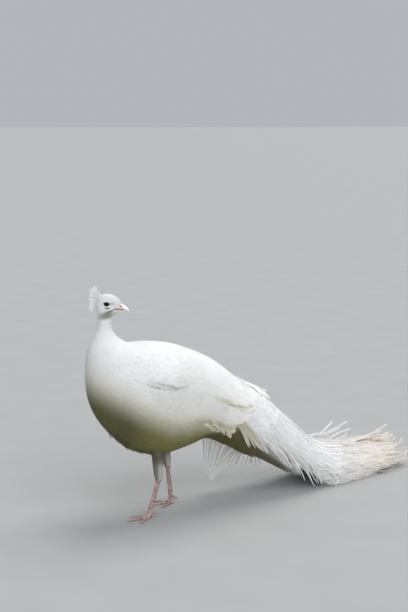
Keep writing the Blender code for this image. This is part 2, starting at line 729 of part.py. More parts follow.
# Legs
def limb(name, path, radii, sides, finish, start_way=None, end_way=None, end_pole=None):
    """A round limb along a path. Each radius is (across, fore and aft), and an end cut on the slant has
    the way that its cut faces."""
    rings = []
    last = len(path) - 1
    sideways = Vector((0, 1, 0))
    for i, (centre, (across, fore)) in enumerate(zip(path, radii)):
        ahead = path[min(i + 1, last)] - path[max(i - 1, 0)]
        if i == 0 and start_way:
            ahead = start_way
        if i == last and end_way:
            ahead = end_way
        rings.append(circle(centre, sideways * across, ahead.cross(sideways).normalized() * fore, sides))
    return tube(name, rings, finish, end_pole=end_pole)


def hock_way(side):
    """The way that the cut through the hock faces, half way between thigh and shank."""
    hip, hock, ankle = Vector(HIP[side]), Vector(HOCK[side]), Vector(ANKLE[side])
    return ((hock - hip).normalized() + (ankle - hock).normalized()).normalized()


def build_thigh(side):
    """The feathered leg above the hock."""
    hip, hock = Vector(HIP[side]), Vector(HOCK[side])
    path = [hip.lerp(hock, share) for share, _, _ in THIGH_PROFILE]
    radii = [sizes for _, *sizes in THIGH_PROFILE]
    return limb("thigh_" + side, path, radii, 14, "plumage", end_way=hock_way(side))


def build_shank(side):
    """The bare leg, with scutes all down it and a spur behind."""
    hock, ankle = Vector(HOCK[side]), Vector(ANKLE[side])
    hock = hock + hock_way(side) * GAP
    path, radii = [], []
    steps = SCUTES * 2
    for i in range(steps + 1):
        share = i / steps
        knob = HOCK_SWELL * math.exp(-((share / 0.08) ** 2))
        knob += ANKLE_SWELL * math.exp(-(((1 - share) / 0.10) ** 2))
        knob += SCUTE_RIDGE * (i % 2)
        path.append(hock.lerp(ankle, share))
        radii.append((SHANK_ACROSS + knob, SHANK_FORE + knob))
    shank = limb("shank_" + side, path, radii, 10, "leg_scale", start_way=hock_way(side))
    base = hock.lerp(ankle, SPUR_SHARE)
    back = Vector((1, 0, 0.12)).normalized()
    spur_path = [base + back * reach for reach in (0.0, 0.0070, SPUR_LONG * 0.8)]
    spur_radii = ((0.0034, 0.0036), (0.0031, 0.0033), (0.0019, 0.0020))
    spur = limb("spur", spur_path, spur_radii, 7, "leg_scale", end_pole=base + back * SPUR_LONG)
    return fuse(shank, [spur])


def toe(root, turn, length, pads, root_height=None, end_height=None):
    """A toe with its pads and claw. Without heights it lies flat on the floor."""
    ahead = Vector((math.cos(turn), math.sin(turn), 0))
    across = Vector((-ahead.y, ahead.x, 0))
    steps = pads * 2 + 1
    rings = []
    for i in range(steps + 1):
        share = i / steps
        radius = TOE_RADIUS * (1 - 0.30 * share) * (0.90 + 0.14 * abs(math.sin(math.pi * share * pads)))
        centre = root + ahead * length * share
        centre.z = FLOOR + radius * 0.86 + 0.006 * max(0.0, 1 - 4 * share)
        if root_height:
            centre.z = root_height + (end_height - root_height) * share
        rings.append(circle(centre, across * radius, Vector((0, 0, radius)), TOE_SIDES))
    middle = centre.copy()
    tip = middle + ahead * CLAW_LONG
    tip.z = max(FLOOR + 0.0008, middle.z - 0.004)
    for share, size in ((0.25, 0.62), (0.65, 0.40)):
        knuckle = middle.lerp(tip, share) + Vector((0, 0, 0.0012 * math.sin(math.pi * share)))
        rings.append([knuckle + (p - middle) * size for p in rings[steps]])
    for ring in rings:
        for p in ring:
            p.z = max(p.z, FLOOR)
    return tube("toe", rings, "leg_scale", end_pole=tip)


def build_foot(side):
    ankle, ball = Vector(ANKLE[side]), Vector(FOOT_AT[side])
    top = ankle + (ankle - Vector(HOCK[side])).normalized() * GAP
    rings = []
    for share, radius, level in FOOT_PROFILE:
        fore = (ankle - Vector(HOCK[side])).cross(Vector((0, 1, 0))).normalized()
        fore = fore.lerp(Vector((1, 0, 0)), level) * radius
        rings.append(circle(top.lerp(ball, share), Vector((0, radius * 0.9, 0)), fore, 10))
    foot = tube("foot_" + side, rings, "leg_scale")
    turn, hand = FOOT_TURN[side], 1 if side == "left" else -1
    toes = [toe(ball, turn - hand * angle, length, pads) for angle, length, pads in TOES]
    toes.append(toe(ball, turn + math.pi - hand * 0.30, HALLUX_LONG, 1, HALLUX_ROOT, HALLUX_END))
    return fuse(foot, toes)


def centre_on_footprint():
    """Puts the origin on the floor under the middle of the bird's box."""
    corners = [vertex.co for obj in bpy.context.scene.objects for vertex in obj.data.vertices]
    low = Vector([min(p[axis] for p in corners) for axis in range(3)])
    high = Vector([max(p[axis] for p in corners) for axis in range(3)])
    middle = (low + high) / 2
    for obj in bpy.context.scene.objects:
        obj.location = (-middle.x, -middle.y, FLOOR)


def main():
    clear_scene()
    build_neck()
    torso = build_torso()
    pads = [arm_pad("pad", side) for side in (-1, 1)]
    carve(torso, [grown(pad) for pad in pads])
    for pad in pads:
        bpy.data.objects.remove(pad)
    build_wing("wing_left", -1)
    build_wing("wing_right", 1)
    build_train()
    build_tail()
    build_head()
    for side in ("left", "right"):
        carve(build_thigh(side), [grown(torso)])
        build_shank(side)
        build_foot(side)
    centre_on_footprint()


main()
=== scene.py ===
"""The looks of the white peafowl: skin, feathers and bare parts, with the floor, light and camera.

Lengths are in metres and +Z is up. The bird is laid out in its own frame, whose origin is on the floor
between its feet, and SHIFT takes it to the part's frame. It faces -X and its left side is -Y.
A surface is a function of (u, v) that gives points, with cross(d/du, d/dv) outwards. Feathers are thin
meshes made in batches: arrays of shape (feathers, points of one feather, 3).
"""

import math

import bpy
import numpy as np
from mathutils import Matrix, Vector


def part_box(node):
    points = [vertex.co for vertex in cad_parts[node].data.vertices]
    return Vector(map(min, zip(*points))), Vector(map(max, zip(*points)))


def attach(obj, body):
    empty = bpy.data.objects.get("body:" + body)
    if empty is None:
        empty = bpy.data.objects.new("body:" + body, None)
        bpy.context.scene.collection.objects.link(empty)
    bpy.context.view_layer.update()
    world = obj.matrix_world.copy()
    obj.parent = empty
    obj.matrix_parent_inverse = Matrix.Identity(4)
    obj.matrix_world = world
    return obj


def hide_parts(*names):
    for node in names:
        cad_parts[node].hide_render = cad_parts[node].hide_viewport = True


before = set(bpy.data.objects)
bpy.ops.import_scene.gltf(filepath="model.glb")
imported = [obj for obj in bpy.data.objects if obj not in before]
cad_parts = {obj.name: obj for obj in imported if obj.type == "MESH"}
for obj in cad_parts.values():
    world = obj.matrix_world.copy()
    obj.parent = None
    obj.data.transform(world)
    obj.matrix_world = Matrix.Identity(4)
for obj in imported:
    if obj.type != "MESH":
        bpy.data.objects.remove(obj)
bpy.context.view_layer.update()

# The body's rings, from the neck to the end of the train: front (x, z), back (x, z), half width, shift
RINGS = np.array(
    (
        (-0.1995, 0.6210, -0.1585, 0.6210, 0.0205, 0.0),
        (-0.2010, 0.5900, -0.1560, 0.5860, 0.0222, 0.0),
        (-0.2150, 0.5580, -0.1320, 0.5560, 0.0360, 0.0),
        (-0.2310, 0.5200, -0.0900, 0.5370, 0.0600, 0.0),
        (-0.2370, 0.4600, -0.0400, 0.5380, 0.0830, 0.0),
        (-0.2300, 0.3800, 0.0100, 0.5320, 0.1030, 0.0),
        (-0.2030, 0.3150, 0.0550, 0.5210, 0.1140, 0.0),
        (-0.1570, 0.2580, 0.0980, 0.5040, 0.1180, 0.0),
        (-0.1000, 0.2100, 0.1370, 0.4870, 0.1160, 0.0),
        (-0.0150, 0.1860, 0.1760, 0.4660, 0.1090, 0.0),
        (0.0700, 0.1980, 0.2150, 0.4380, 0.0980, 0.0),
        (0.1480, 0.2160, 0.2600, 0.4020, 0.0880, 0.002),
        (0.2200, 0.1880, 0.3200, 0.3600, 0.0860, 0.006),
        (0.3050, 0.1400, 0.3950, 0.3040, 0.0880, 0.014),
        (0.4050, 0.0850, 0.4700, 0.2380, 0.0920, 0.026),
        (0.5150, 0.0200, 0.5500, 0.1680, 0.0980, 0.044),
        (0.6350, -0.0700, 0.6450, 0.1260, 0.1060, 0.066),
        (0.7600, -0.0780, 0.7600, 0.1040, 0.1060, 0.090),
        (0.8700, -0.0660, 0.8700, 0.0860, 0.0980, 0.112),
        (0.9650, -0.0500, 0.9650, 0.0660, 0.0820, 0.130),
    )
)
LAST_RING = len(RINGS) - 1
VENT = 11.0  # the ring where the tail starts

# The head's own frame: origin at the top of the neck and +X along the bill
HEAD_AT = np.array((-0.179, 0.0, 0.6213))
HEAD_TURN = math.radians(-36)
HEAD_RINGS = np.array(
    (
        # back (x, z), front (x, z), half width
        (-0.0222, -0.0300, 0.0226, -0.0300, 0.0222),
        (-0.0212, -0.0150, 0.0216, -0.0150, 0.0212),
        (-0.0205, 0.0000, 0.0210, 0.0000, 0.0205),
        (-0.0212, 0.0120, 0.0290, 0.0085, 0.0195),
        (-0.0222, 0.0240, 0.0400, 0.0165, 0.0184),
        (-0.0226, 0.0345, 0.0470, 0.0275, 0.0178),
        (-0.0213, 0.0450, 0.0530, 0.0385, 0.0174),
        (-0.0180, 0.0560, 0.0515, 0.0480, 0.0165),
        (-0.0110, 0.0650, 0.0440, 0.0590, 0.0143),
        (-0.0020, 0.0695, 0.0330, 0.0665, 0.0105),
        (0.0160, 0.0718, 0.0160, 0.0718, 0.0),
    )
)
HEAD_TOP = len(HEAD_RINGS) - 1
FACE_TAPER = 0.40
EYE_AT = np.array((0.0117, 0.0125, 0.0434))
EYE_RADIUS = 0.0080
EYE_LONG, EYE_HIGH = 0.0071, 0.0055  # half sizes of the opening between the lids
UPPER_BILL = (
    # x, ridge z, cutting edge z, half width
    (0.0340, 0.0480, 0.0280, 0.0088),
    (0.0460, 0.0455, 0.0278, 0.0087),
    (0.0550, 0.0420, 0.0274, 0.0077),
    (0.0625, 0.0380, 0.0268, 0.0062),
    (0.0690, 0.0331, 0.0258, 0.0044),
    (0.0735, 0.0280, 0.0238, 0.0024),
    (0.0764, 0.0211, 0.0205, 0.0002),
)
LOWER_BILL = (
    # x, keel z, cutting edge z, half width
    (0.0340, 0.0150, 0.0274, 0.0080),
    (0.0460, 0.0178, 0.0272, 0.0077),
    (0.0560, 0.0200, 0.0267, 0.0063),
    (0.0640, 0.0218, 0.0258, 0.0042),
    (0.0712, 0.0236, 0.0238, 0.0002),
)
CREST_ROOTS = ((-0.0060, 0.0650), (-0.0190, 0.0500))
CREST_TIPS = ((-0.0330, 0.0935), (-0.0450, 0.0800), (-0.0470, 0.0600), (-0.0462, 0.0400), (-0.0432, 0.0165))

# Legs, left and right
SIDES = ("left", "right")
HIP = {"left": (-0.036, -0.056, 0.262), "right": (0.030, 0.056, 0.262)}
HOCK = {"left": (-0.029, -0.053, 0.118), "right": (0.053, 0.052, 0.123)}
ANKLE = {"left": (-0.0545, -0.050, 0.0320), "right": (0.0620, 0.050, 0.0320)}
FOOT_AT = {"left": (-0.0610, -0.049, 0.0), "right": (0.0630, 0.050, 0.0)}
FOOT_TURN = {"left": math.radians(184), "right": math.radians(176)}
THIGH_PROFILE = np.array(
    (
        # radius across, radius fore and aft, at even steps from hip to hock
        (0.0240, 0.0300),
        (0.0215, 0.0262),
        (0.0185, 0.0218),
        (0.0152, 0.0174),
        (0.0140, 0.0159),
        (0.0126, 0.0142),
        (0.0082, 0.0097),
    )
)
SHANK_ACROSS, SHANK_FORE = 0.0056, 0.0069
TOES = (
    # angle from straight ahead, length, pads
    (math.radians(38), 0.050, 2),
    (math.radians(2), 0.066, 3),
    (math.radians(-36), 0.054, 3),
)

CHANCE = np.random.default_rng(11)


def turned(points):
    """From the head's own frame to the bird's."""
    points = np.asarray(points, float)
    c, s = math.cos(HEAD_TURN), math.sin(HEAD_TURN)
    x, y, z = points[..., 0], points[..., 1], points[..., 2]
    return HEAD_AT + np.stack((x * c - y * s, x * s + y * c, z), -1)


def to_head(points):
    """(x, y, z) in the head's own frame."""
    local = points - HEAD_AT
    c, s = math.cos(HEAD_TURN), math.sin(HEAD_TURN)
    return local[..., 0] * c + local[..., 1] * s, local[..., 1] * c - local[..., 0] * s, local[..., 2]


# The part's frame, found from the eye, which both files place alike
EYE_LOW, EYE_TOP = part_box("eye_left")
SHIFT = np.array((EYE_LOW + EYE_TOP) / 2) - turned(EYE_AT)
SHIFT[2] = 0.0


# Curves and surfaces
def unit(vectors):
    return vectors / np.maximum(np.linalg.norm(vectors, axis=-1, keepdims=True), 1e-12)


def eased(value, low, high):
    share = np.clip((value - low) / (high - low), 0.0, 1.0)
    return share * share * (3 - 2 * share)


def between(value, low, full, fading, gone):
    """Up from 0 at low to 1 at full, and down from 1 at fading to 0 at gone."""
    return eased(value, low, full) * (1 - eased(value, fading, gone))


def bell(value, width):
    return np.exp(-((value / width) ** 2))


def grid(u, v):
    return np.meshgrid(u, v, indexing="ij")


def sloped(start, change):
    """A function of the share of the way along a feather."""
    return lambda s: start + change * s


def full_turn(sides):
    return np.linspace(0, math.tau, sides, endpoint=False)


def kept_above(points, height):
    """Points, of which those that lie lower are brought up to that height."""
    points[..., 2] = np.maximum(points[..., 2], height)
    return points


def on_curve(table, t):
    """Rows of a table of numbers at each t, on a smooth curve through its rows."""
    table = np.asarray(table, float)
    last = len(table) - 1
    padded = np.vstack((2 * table[0] - table[1], table, 2 * table[-1] - table[-2]))
    t = np.clip(np.asarray(t, float), 0, last)
    i = np.minimum(t.astype(int), last - 1)
    u = (t - i)[..., None]
    before, a, b, after = padded[i], padded[i + 1], padded[i + 2], padded[i + 3]
    bend = (2 * before - 5 * a + 4 * b - after) * u**2 + (3 * a - before - 3 * b + after) * u**3
    return 0.5 * (2 * a + (b - before) * u + bend)


def along(points, share):
    """Places at those shares of the way along a smooth curve through the points."""
    return on_curve(points, np.asarray(share, float) * (len(points) - 1))


def form(t, angle, scale=1.0):
    """The body's form at ring t. Angle 0 is the back, +90 degrees the right side and 180 the belly."""
    front_x, front_z, back_x, back_z, width, shift = np.moveaxis(on_curve(RINGS, t), -1, 0)
    up = np.cos(angle) * scale / 2
    x = (front_x + back_x) / 2 + (back_x - front_x) * up
    z = (front_z + back_z) / 2 + (back_z - front_z) * up
    return np.stack((x, shift + width * scale * np.sin(angle), z), -1)


def head_form(t, angle):
    """The head's form at ring t, from the neck up. Angle 0 is its back and +90 degrees its left side."""
    back_x, back_z, front_x, front_z, width = np.moveaxis(on_curve(HEAD_RINGS, t), -1, 0)
    share = (1 + np.cos(angle)) / 2
    taper = 1 + FACE_TAPER * np.clip((t - 2) / 3, 0.0, 1.0) * np.cos(angle)
    x, z = front_x + (back_x - front_x) * share, front_z + (back_z - front_z) * share
    return turned(np.stack((x, width * taper * np.sin(angle), z), -1))


def thigh_form(side):
    """The thigh's form, with its top drawn in under the belly's feathers."""
    hip, hock = np.array(HIP[side]), np.array(HOCK[side])
    inward = np.array((0.0, -0.020 if hip[1] > 0 else 0.020, 0.0))

    def surface(share, angle):
        share = np.asarray(share, float)
        tucked = 1 - eased(share, 0.05, 0.55)
        across, fore = np.moveaxis(along(THIGH_PROFILE, share), -1, 0) * (1 - 0.30 * tucked)
        middle = hip + (hock - hip) * share[..., None] + inward * tucked[..., None]
        return middle + np.stack((fore * np.cos(angle), across * np.sin(angle), 0 * fore), -1)

    return surface


def framed(surface, u, v):
    """Points of a surface, and its unit normals and steps by u and by v."""
    e = 1e-3
    along_u = (surface(u + e, v) - surface(u - e, v)) / (2 * e)
    along_v = (surface(u, v + e) - surface(u, v - e)) / (2 * e)
    return surface(u, v), unit(np.cross(along_u, along_v)), along_u, along_v


def ring_at(x, z):
    """(ring, angle) of the body's right side at places seen from the side."""
    x, z = np.asarray(x, float), np.asarray(z, float)
    low, high = np.full(x.shape, 2.0), np.full(x.shape, float(LAST_RING))
    for _ in range(24):
        t = (low + high) / 2
        front_x, front_z, back_x, back_z, _, _ = np.moveaxis(on_curve(RINGS, t), -1, 0)
        ahead = (back_x - front_x) * (z - front_z) - (back_z - front_z) * (x - front_x) > 0
        low, high = np.where(ahead, low, t), np.where(ahead, t, high)
    wide, tall = back_x - front_x, back_z - front_z
    share = ((x - front_x) * wide + (z - front_z) * tall) / (wide**2 + tall**2)
    return t, np.arccos(np.clip(2 * share - 1, -0.995, 0.995))


# Colours, painted by place: the same for skin and coat. Some of them are painted light and shade, marked
# where they stand
WHITE = np.array((0.880, 0.878, 0.880))
# Painted shade: the wing's white, a little darker than the back's
SHADED_WING_WHITE = np.array((0.820, 0.812, 0.785))
# Painted light: the train's white, lighter than the back's as if in sunlight
LIT_TRAIN_WHITE = np.array((0.940, 0.938, 0.935))
CREAM = np.array((0.80, 0.765, 0.61))
# Painted shade under breast and belly, olive from green light bounced up from below
UNDER_SHADE = np.array((0.128, 0.121, 0.030))
# Painted shade in the wing's crease
CREASE_SHADE = np.array((0.33, 0.31, 0.12))
# Painted shade, ochre, under the wing's edges and on the pale vane that hangs over the hollow
OCHRE_SHADE = np.array((0.56, 0.50, 0.26))
NECK_LINE = np.array((0.62, 0.57, 0.56))
# Painted shade in the hollow under the tail, between belly, wing tips and train
HOLLOW_SHADE = np.array((0.112, 0.098, 0.026))
TAN = np.array((0.90, 0.755, 0.565))
DUSK = np.array((0.22, 0.205, 0.19))
GREY = np.array((0.235, 0.232, 0.155))
BLACK = np.array((0.012, 0.008, 0.009))
LORE = np.array((0.40, 0.32, 0.31))
GAPE = np.array((0.25, 0.09, 0.045))
ALMOND = np.array((0.0083, 0.0063))  # half sizes of the dark round the eye


def mixed(base, colour, share):
    return base + (colour - base) * np.asarray(share)[..., None]


def plain(colour, points):
    return np.broadcast_to(colour, points.shape)


def spot(x, z, centre, sizes, slope, core):
    """1 inside the core of an oval seen from the side, fading to 0 past its rim."""
    dx, dz = x - centre[0], z - centre[1]
    c, s = math.cos(slope), math.sin(slope)
    far = np.hypot((dx * c + dz * s) / sizes[0], (dz * c - dx * s) / sizes[1])
    return 1 - eased(far, core, 1.75 - core)


# Lines of the side view, as (x, z): where the white ends, where the underside's painted shade begins, the
# top of the hollow's painted shade, and the top and lower edge of the wing's upper group and the lower edge
# of its lower group
UNSHADED_ABOVE = ((-0.25, 0.492), (-0.20, 0.470), (-0.10, 0.412), (0.0, 0.365), (0.12, 0.335), (0.22, 0.275),
               (0.40, 0.115), (0.60, 0.0))
SHADE_BELOW = ((-0.25, 0.372), (-0.20, 0.342), (-0.10, 0.282), (0.0, 0.235), (0.12, 0.235), (0.22, 0.190),
                (0.40, 0.030), (0.60, -0.10))
HOLLOW_BELOW = ((0.04, 0.215), (0.12, 0.252), (0.20, 0.252), (0.245, 0.266), (0.322, 0.194),
                (0.418, 0.118), (0.50, 0.055))
UPPER_TOP = ((-0.110, 0.462), (-0.045, 0.490), (0.020, 0.500), (0.090, 0.484), (0.160, 0.446),
             (0.300, 0.362))
UPPER_LOW = ((-0.110, 0.442), (-0.050, 0.420), (0.012, 0.413), (0.100, 0.391), (0.190, 0.353),
             (0.290, 0.300))
LOWER_LOW = ((-0.110, 0.410), (-0.050, 0.350), (0.030, 0.300), (0.120, 0.288), (0.170, 0.266),
             (0.230, 0.250), (0.290, 0.290))
# How dark the underside's painted shade is, by x
SHADE_TONE = ((-0.20, 0.84), (-0.14, 0.66), (-0.05, 1.45), (0.05, 1.60))  # x, brightness
NECK_TOP = (0.604, 0.622)  # heights over which the body's paint gives way to the head's
# Painted shade on the throat and at the back of the neck's top, in mottled grey
THROAT_MARKS = (
    # strength, centre (x, z), half sizes, slope, core
    (0.95, (0.010, 0.0100), (0.022, 0.0125), 0.36, 0.35),
    (0.34, (-0.010, 0.006), (0.007, 0.019), 0.0, 0.2),
)
FACE_MARKS = (
    # colour, strength, centre (x, z), half sizes, slope, core
    # painted shade under the bill
    (GREY, 0.40, (0.044, 0.0180), (0.012, 0.0060), 0.36, 0.2),
    (LORE, 0.60, (0.0235, 0.0440), (0.0110, 0.0042), 0.05, 0.1),
    # painted shade in the crease below the eye, two marks
    (DUSK * 0.5, 0.80, (0.0090, 0.0315), (0.0048, 0.0026), -0.1, 0.3),
    (DUSK * 0.4, 0.95, (0.0155, 0.0307), (0.0042, 0.0032), -0.2, 0.4),
    # painted shade along the cheek's lower edge, from the gape back
    (DUSK * 0.7, 0.95, (0.0225, 0.0218), (0.0145, 0.0023), 0.42, 0.4),
    (GAPE, 0.95, (0.0375, 0.0278), (0.0066, 0.0026), 0.05, 0.5),
)


def line_at(line, x):
    return np.interp(x, *np.array(line).T)


def waves(phase):
    """A wave between 0 and 1."""
    return 0.5 + 0.5 * np.sin(phase)


def plain_white(x, z):
    """The whites of body, wing and train, the wing's darkened as painted shade and the train's lightened as
    painted light.
    """
    wing = eased(line_at(UPPER_TOP, x) - z, -0.02, 0.05) * between(x, -0.06, 0.06, 0.20, 0.33)
    return mixed(mixed(WHITE, SHADED_WING_WHITE, wing), LIT_TRAIN_WHITE, eased(x, 0.33, 0.45))


def wing_marks(colour, x, z):
    """Painted shade: in the crease under the wing's upper group, and ochre behind it and along the lower
    edge.
    """
    above = z - line_at(UPPER_LOW, x)
    deep = 0.10 + 0.65 * (1 - eased(x, -0.02, 0.03))
    fold = bell(above + 0.0040, 0.0030) * between(x, -0.105, -0.085, 0.20, 0.27)
    colour = mixed(colour, CREASE_SHADE, fold * deep)
    under_fold_shade = bell(above + 0.011, 0.008) * between(x, 0.12, 0.17, 0.25, 0.29)
    colour = mixed(colour, OCHRE_SHADE, 0.52 * under_fold_shade)
    low_edge = bell(z - line_at(LOWER_LOW, x) - 0.004, 0.009) * between(x, 0.05, 0.09, 0.22, 0.26)
    return mixed(colour, OCHRE_SHADE * 0.7, 0.55 * low_edge)


def body_paint(points):
    """White above, olive painted shade and bounce light under breast and belly, and tan at the train's end.
    """
    x, y, z = np.moveaxis(points, -1, 0)
    unshaded_line, shade_line = line_at(UNSHADED_ABOVE, x), line_at(SHADE_BELOW, x)
    under = (unshaded_line - z) / (unshaded_line - shade_line)
    # Cream, then dark olive: painted shade, greened by bounced light, growing towards the underside
    colour = mixed(plain_white(x, z), CREAM * 0.88, 0.70 * eased(under, -0.25, 0.55))
    tone = line_at(SHADE_TONE, x)[..., None]
    colour = wing_marks(mixed(colour, UNDER_SHADE * tone, 0.95 * eased(under, 0.15, 1.05)), x, z)
    lines = waves(13 * np.arctan2(y, x - HEAD_AT[0]) + 22 * z) ** 2
    colour = mixed(colour, NECK_LINE, 0.24 * lines * eased(z, 0.54, 0.59))
    streak = waves(640 * y + 410 * z + 3 * np.sin(31 * x)) ** 2
    return mixed(colour, TAN, eased(x, 0.56, 0.86) * (0.18 + 0.44 * streak))


def under_paint(points, _=None):
    """The same, with painted shade in the hollow between the belly, the wing's tips and the train."""
    x, z = points[..., 0], points[..., 2]
    dark = eased(line_at(HOLLOW_BELOW, x) - z, -0.002, 0.020) * between(x, 0.085, 0.135, 0.42, 0.56)
    return mixed(body_paint(points), HOLLOW_SHADE, 0.93 * dark)


def head_paint(points):
    """White, with the dusky lore and painted shade: in the marks below the eye, under the bill and on the
    throat.
    """
    x, _, z = to_head(points)
    mottled = 0.92 + 0.08 * np.sin(530 * x + 310 * z) * np.sin(470 * z - 710 * x)
    specks = (0.5 + 0.5 * np.sin(1500 * x + 300 * z) * np.sin(1300 * z - 400 * x)) ** 3
    colour = mixed(WHITE, GREY, 0.16 * specks * eased(z, 0.030, 0.045))
    for strength, *oval in THROAT_MARKS:
        colour = mixed(colour, GREY, strength * mottled * spot(x, z, *oval))
    for tint, strength, *oval in FACE_MARKS:
        colour = mixed(colour, tint, strength * spot(x, z, *oval))
    eye = EYE_AT[[0, 2]]
    corner = spot(x, z, eye + (-0.0060, 0.0020), (0.0050, 0.0032), -0.35, 0.8)
    return mixed(colour, BLACK, np.maximum(corner, spot(x, z, eye, 1.14 * ALMOND, -0.10, 0.84)))


def with_head(body, points):
    up = eased(points[..., 2], *NECK_TOP)[..., None]
    return body * (1 - up) + head_paint(points) * up


def plumage_paint(points):
    """The head's marks above the neck and the body's below."""
    return with_head(under_paint(points), points)


def paint_without_hollow_shade(points):
    """Without the hollow's painted shade, for wings and train, which hang over it."""
    return with_head(body_paint(points), points)


# Finishes
class Finish:
    """A material in the making. Its nodes' sockets are given numbers, or other nodes' outputs."""

    def __init__(self, name, sockets):
        self.made = bpy.data.materials.new(name)
        self.made.use_nodes = True
        self.nodes = self.made.node_tree.nodes
        self.shade(sockets)

    def feed(self, node, sockets):
        for name, value in sockets.items():
            if isinstance(value, bpy.types.NodeSocket):
                self.made.node_tree.links.new(value, node.inputs[name])
            else:
                node.inputs[name].default_value = value

    def shade(self, sockets):
        self.feed(self.nodes["Principled BSDF"], sockets)

    def node(self, kind, output, sockets=None, **settings):
        """A new node's output."""
        made = self.nodes.new("ShaderNode" + kind)
        for name, value in settings.items():
            setattr(made, name, value)
        self.feed(made, sockets or {})
        return made.outputs[output]

    def paint(self):
        return self.node("VertexColor", "Color", layer_name="paint")

    def noise(self, scale, detail, stretch=(1, 1, 1)):
        """A noise read at places on the object."""
        place = self.node("TexCoord", "Object")
        place = self.node("Mapping", "Vector", {"Vector": place, "Scale": stretch})
        return self.node("TexNoise", "Fac", {"Vector": place, "Scale": scale, "Detail": detail})

    def tinted(self, colour, fac, low, high):
        """A colour, multiplied by a grey that follows fac from low to high."""
        ends = {"From Min": 0.30, "From Max": 0.70, "To Min": low, "To Max": high}
        grey = self.node("MapRange", "Result", {"Value": fac, **ends})
        sockets = {"Factor": 1.0, "A": colour, "B": grey}
        return self.node("Mix", "Result", sockets, data_type="RGBA", blend_type="MULTIPLY")

    def blended(self, fac, low, high, first, second):
        """Two colours, mixed by where fac lies between low and high."""
        share = self.node("MapRange", "Result", {"Value": fac, "From Min": low, "From Max": high})
        return self.node("Mix", "Result", {"Factor": share, "A": first, "B": second}, data_type="RGBA")

    def bumped(self, height, distance, strength):
        sockets = {"Height": height, "Distance": distance, "Strength": strength}
        self.shade({"Normal": self.node("Bump", "Normal", sockets)})


def surface_of(roughness, specular, **more):
    """Sockets of the shader itself."""
    named = {name.replace("_", " ").title(): value for name, value in more.items()}
    return {"Roughness": roughness, "Specular IOR Level": specular, **named}


def feather_material(name, roughness, lines):
    """Painted by place, mottled softly, with the fine lines of the barbs along their own coordinate."""
    finish = Finish(name, surface_of(roughness, 0.12, sheen_weight=0.04, sheen_roughness=0.5))
    colour = finish.tinted(finish.paint(), finish.noise(24, 3), 0.955, 1.015)
    colour = finish.tinted(colour, finish.noise(420, 2), 0.95, 1.015)
    barb = finish.node("Attribute", "Fac", attribute_name="barb")
    turn = finish.node("Math", "Value", {0: barb, 1: math.tau * lines}, operation="MULTIPLY")
    wave = finish.node("Math", "Value", {0: turn}, operation="SINE")
    height = finish.node("MapRange", "Result", {"Value": wave, "From Min": -1.0, "From Max": 1.0})
    finish.shade({"Base Color": colour})
    finish.bumped(height, 0.00022, 0.6)
    return finish.made


def grained_material(name, sockets, grain, tint, bump=None):
    """Painted by place, with a fine grain that tints it and stands off it."""
    finish = Finish(name, sockets)
    fac = finish.noise(*grain)
    finish.shade({"Base Color": finish.tinted(finish.paint(), fac, *tint)})
    if bump:
        finish.bumped(fac, *bump)
    return finish.made


def leg_material():
    """Pinkish grey scales, mottled dark between them."""
    finish = Finish("leg_scale", surface_of(0.52, 0.4))
    dark = finish.blended(finish.noise(230, 4), 0.52, 0.62, finish.paint(), (0.105, 0.062, 0.058, 1))
    pale = finish.blended(finish.noise(130, 3), 0.56, 0.75, dark, (0.70, 0.58, 0.54, 1))
    finish.shade({"Base Color": pale})
    finish.bumped(finish.noise(900, 3), 0.0006, 0.7)
    return finish.made


def floor_material():
    finish = Finish("floor", surface_of(0.75, 0.2))
    colours = (0.385, 0.39, 0.385, 1), (0.405, 0.41, 0.405, 1)
    finish.shade({"Base Color": finish.blended(finish.noise(6, 4), 0.3, 0.7, *colours)})
    return finish.made


SKIN_LOOK = surface_of(0.55, 0.35)
HORN_LOOK = surface_of(0.38, 0.45, coat_weight=0.15)
EYE_LOOK = surface_of(0.25, 0.06, coat_weight=0.12, coat_roughness=0.03)
GROWTH_LINES = (700, 2, (0.3, 1, 1))  # a noise drawn out along the bill
FINISHES = {
    "plumage": feather_material("plumage", 0.80, 20),
    "flight_feather": feather_material("flight_feather", 0.62, 60),
    "bare_skin": grained_material("bare_skin", SKIN_LOOK, (900, 3), (0.90, 1.03), (0.0005, 0.8)),
    "bill_horn": grained_material("bill_horn", HORN_LOOK, GROWTH_LINES, (0.90, 1.04), (0.0003, 0.5)),
    "eye": grained_material("eye", EYE_LOOK, (1600, 2), (0.8, 1.25)),
    "leg_scale": leg_material(),
}


# Pieces
def piece(name, points, triangles, finish, colours, normals=None, patch=None, barb=None, replaces=()):
    """A mesh that rides on the part, with its colours painted on its points."""
    points = np.asarray(points, float).reshape(-1, 3)
    triangles = np.asarray(triangles, int).reshape(-1, 3)
    mesh = bpy.data.meshes.new(name)
    mesh.from_pydata((points + SHIFT).tolist(), [], triangles.tolist())
    mesh.shade_smooth()
    paint = mesh.color_attributes.new(name="paint", type="FLOAT_COLOR", domain="POINT")
    solid = np.ones((len(points), 4), np.float32)
    solid[:, :3] = np.asarray(colours).reshape(-1, 3)
    paint.data.foreach_set("color", solid.ravel())
    if patch is not None:
        layer = mesh.uv_layers.new(name="OFBake")
        layer.data.foreach_set("uv", np.asarray(patch, np.float32).reshape(-1, 2)[triangles.ravel()].ravel())
    if barb is not None:
        layer = mesh.attributes.new(name="barb", type="FLOAT", domain="POINT")
        layer.data.foreach_set("value", np.asarray(barb, np.float32).ravel())
    if normals is not None:
        mesh.normals_split_custom_set_from_vertices(np.asarray(normals, np.float32).reshape(-1, 3))
    mesh.materials.append(FINISHES[finish])
    obj = bpy.data.objects.new(name, mesh)
    bpy.context.scene.collection.objects.link(obj)
    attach(obj, "root")
    if replaces:
        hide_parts(*replaces)
    return obj


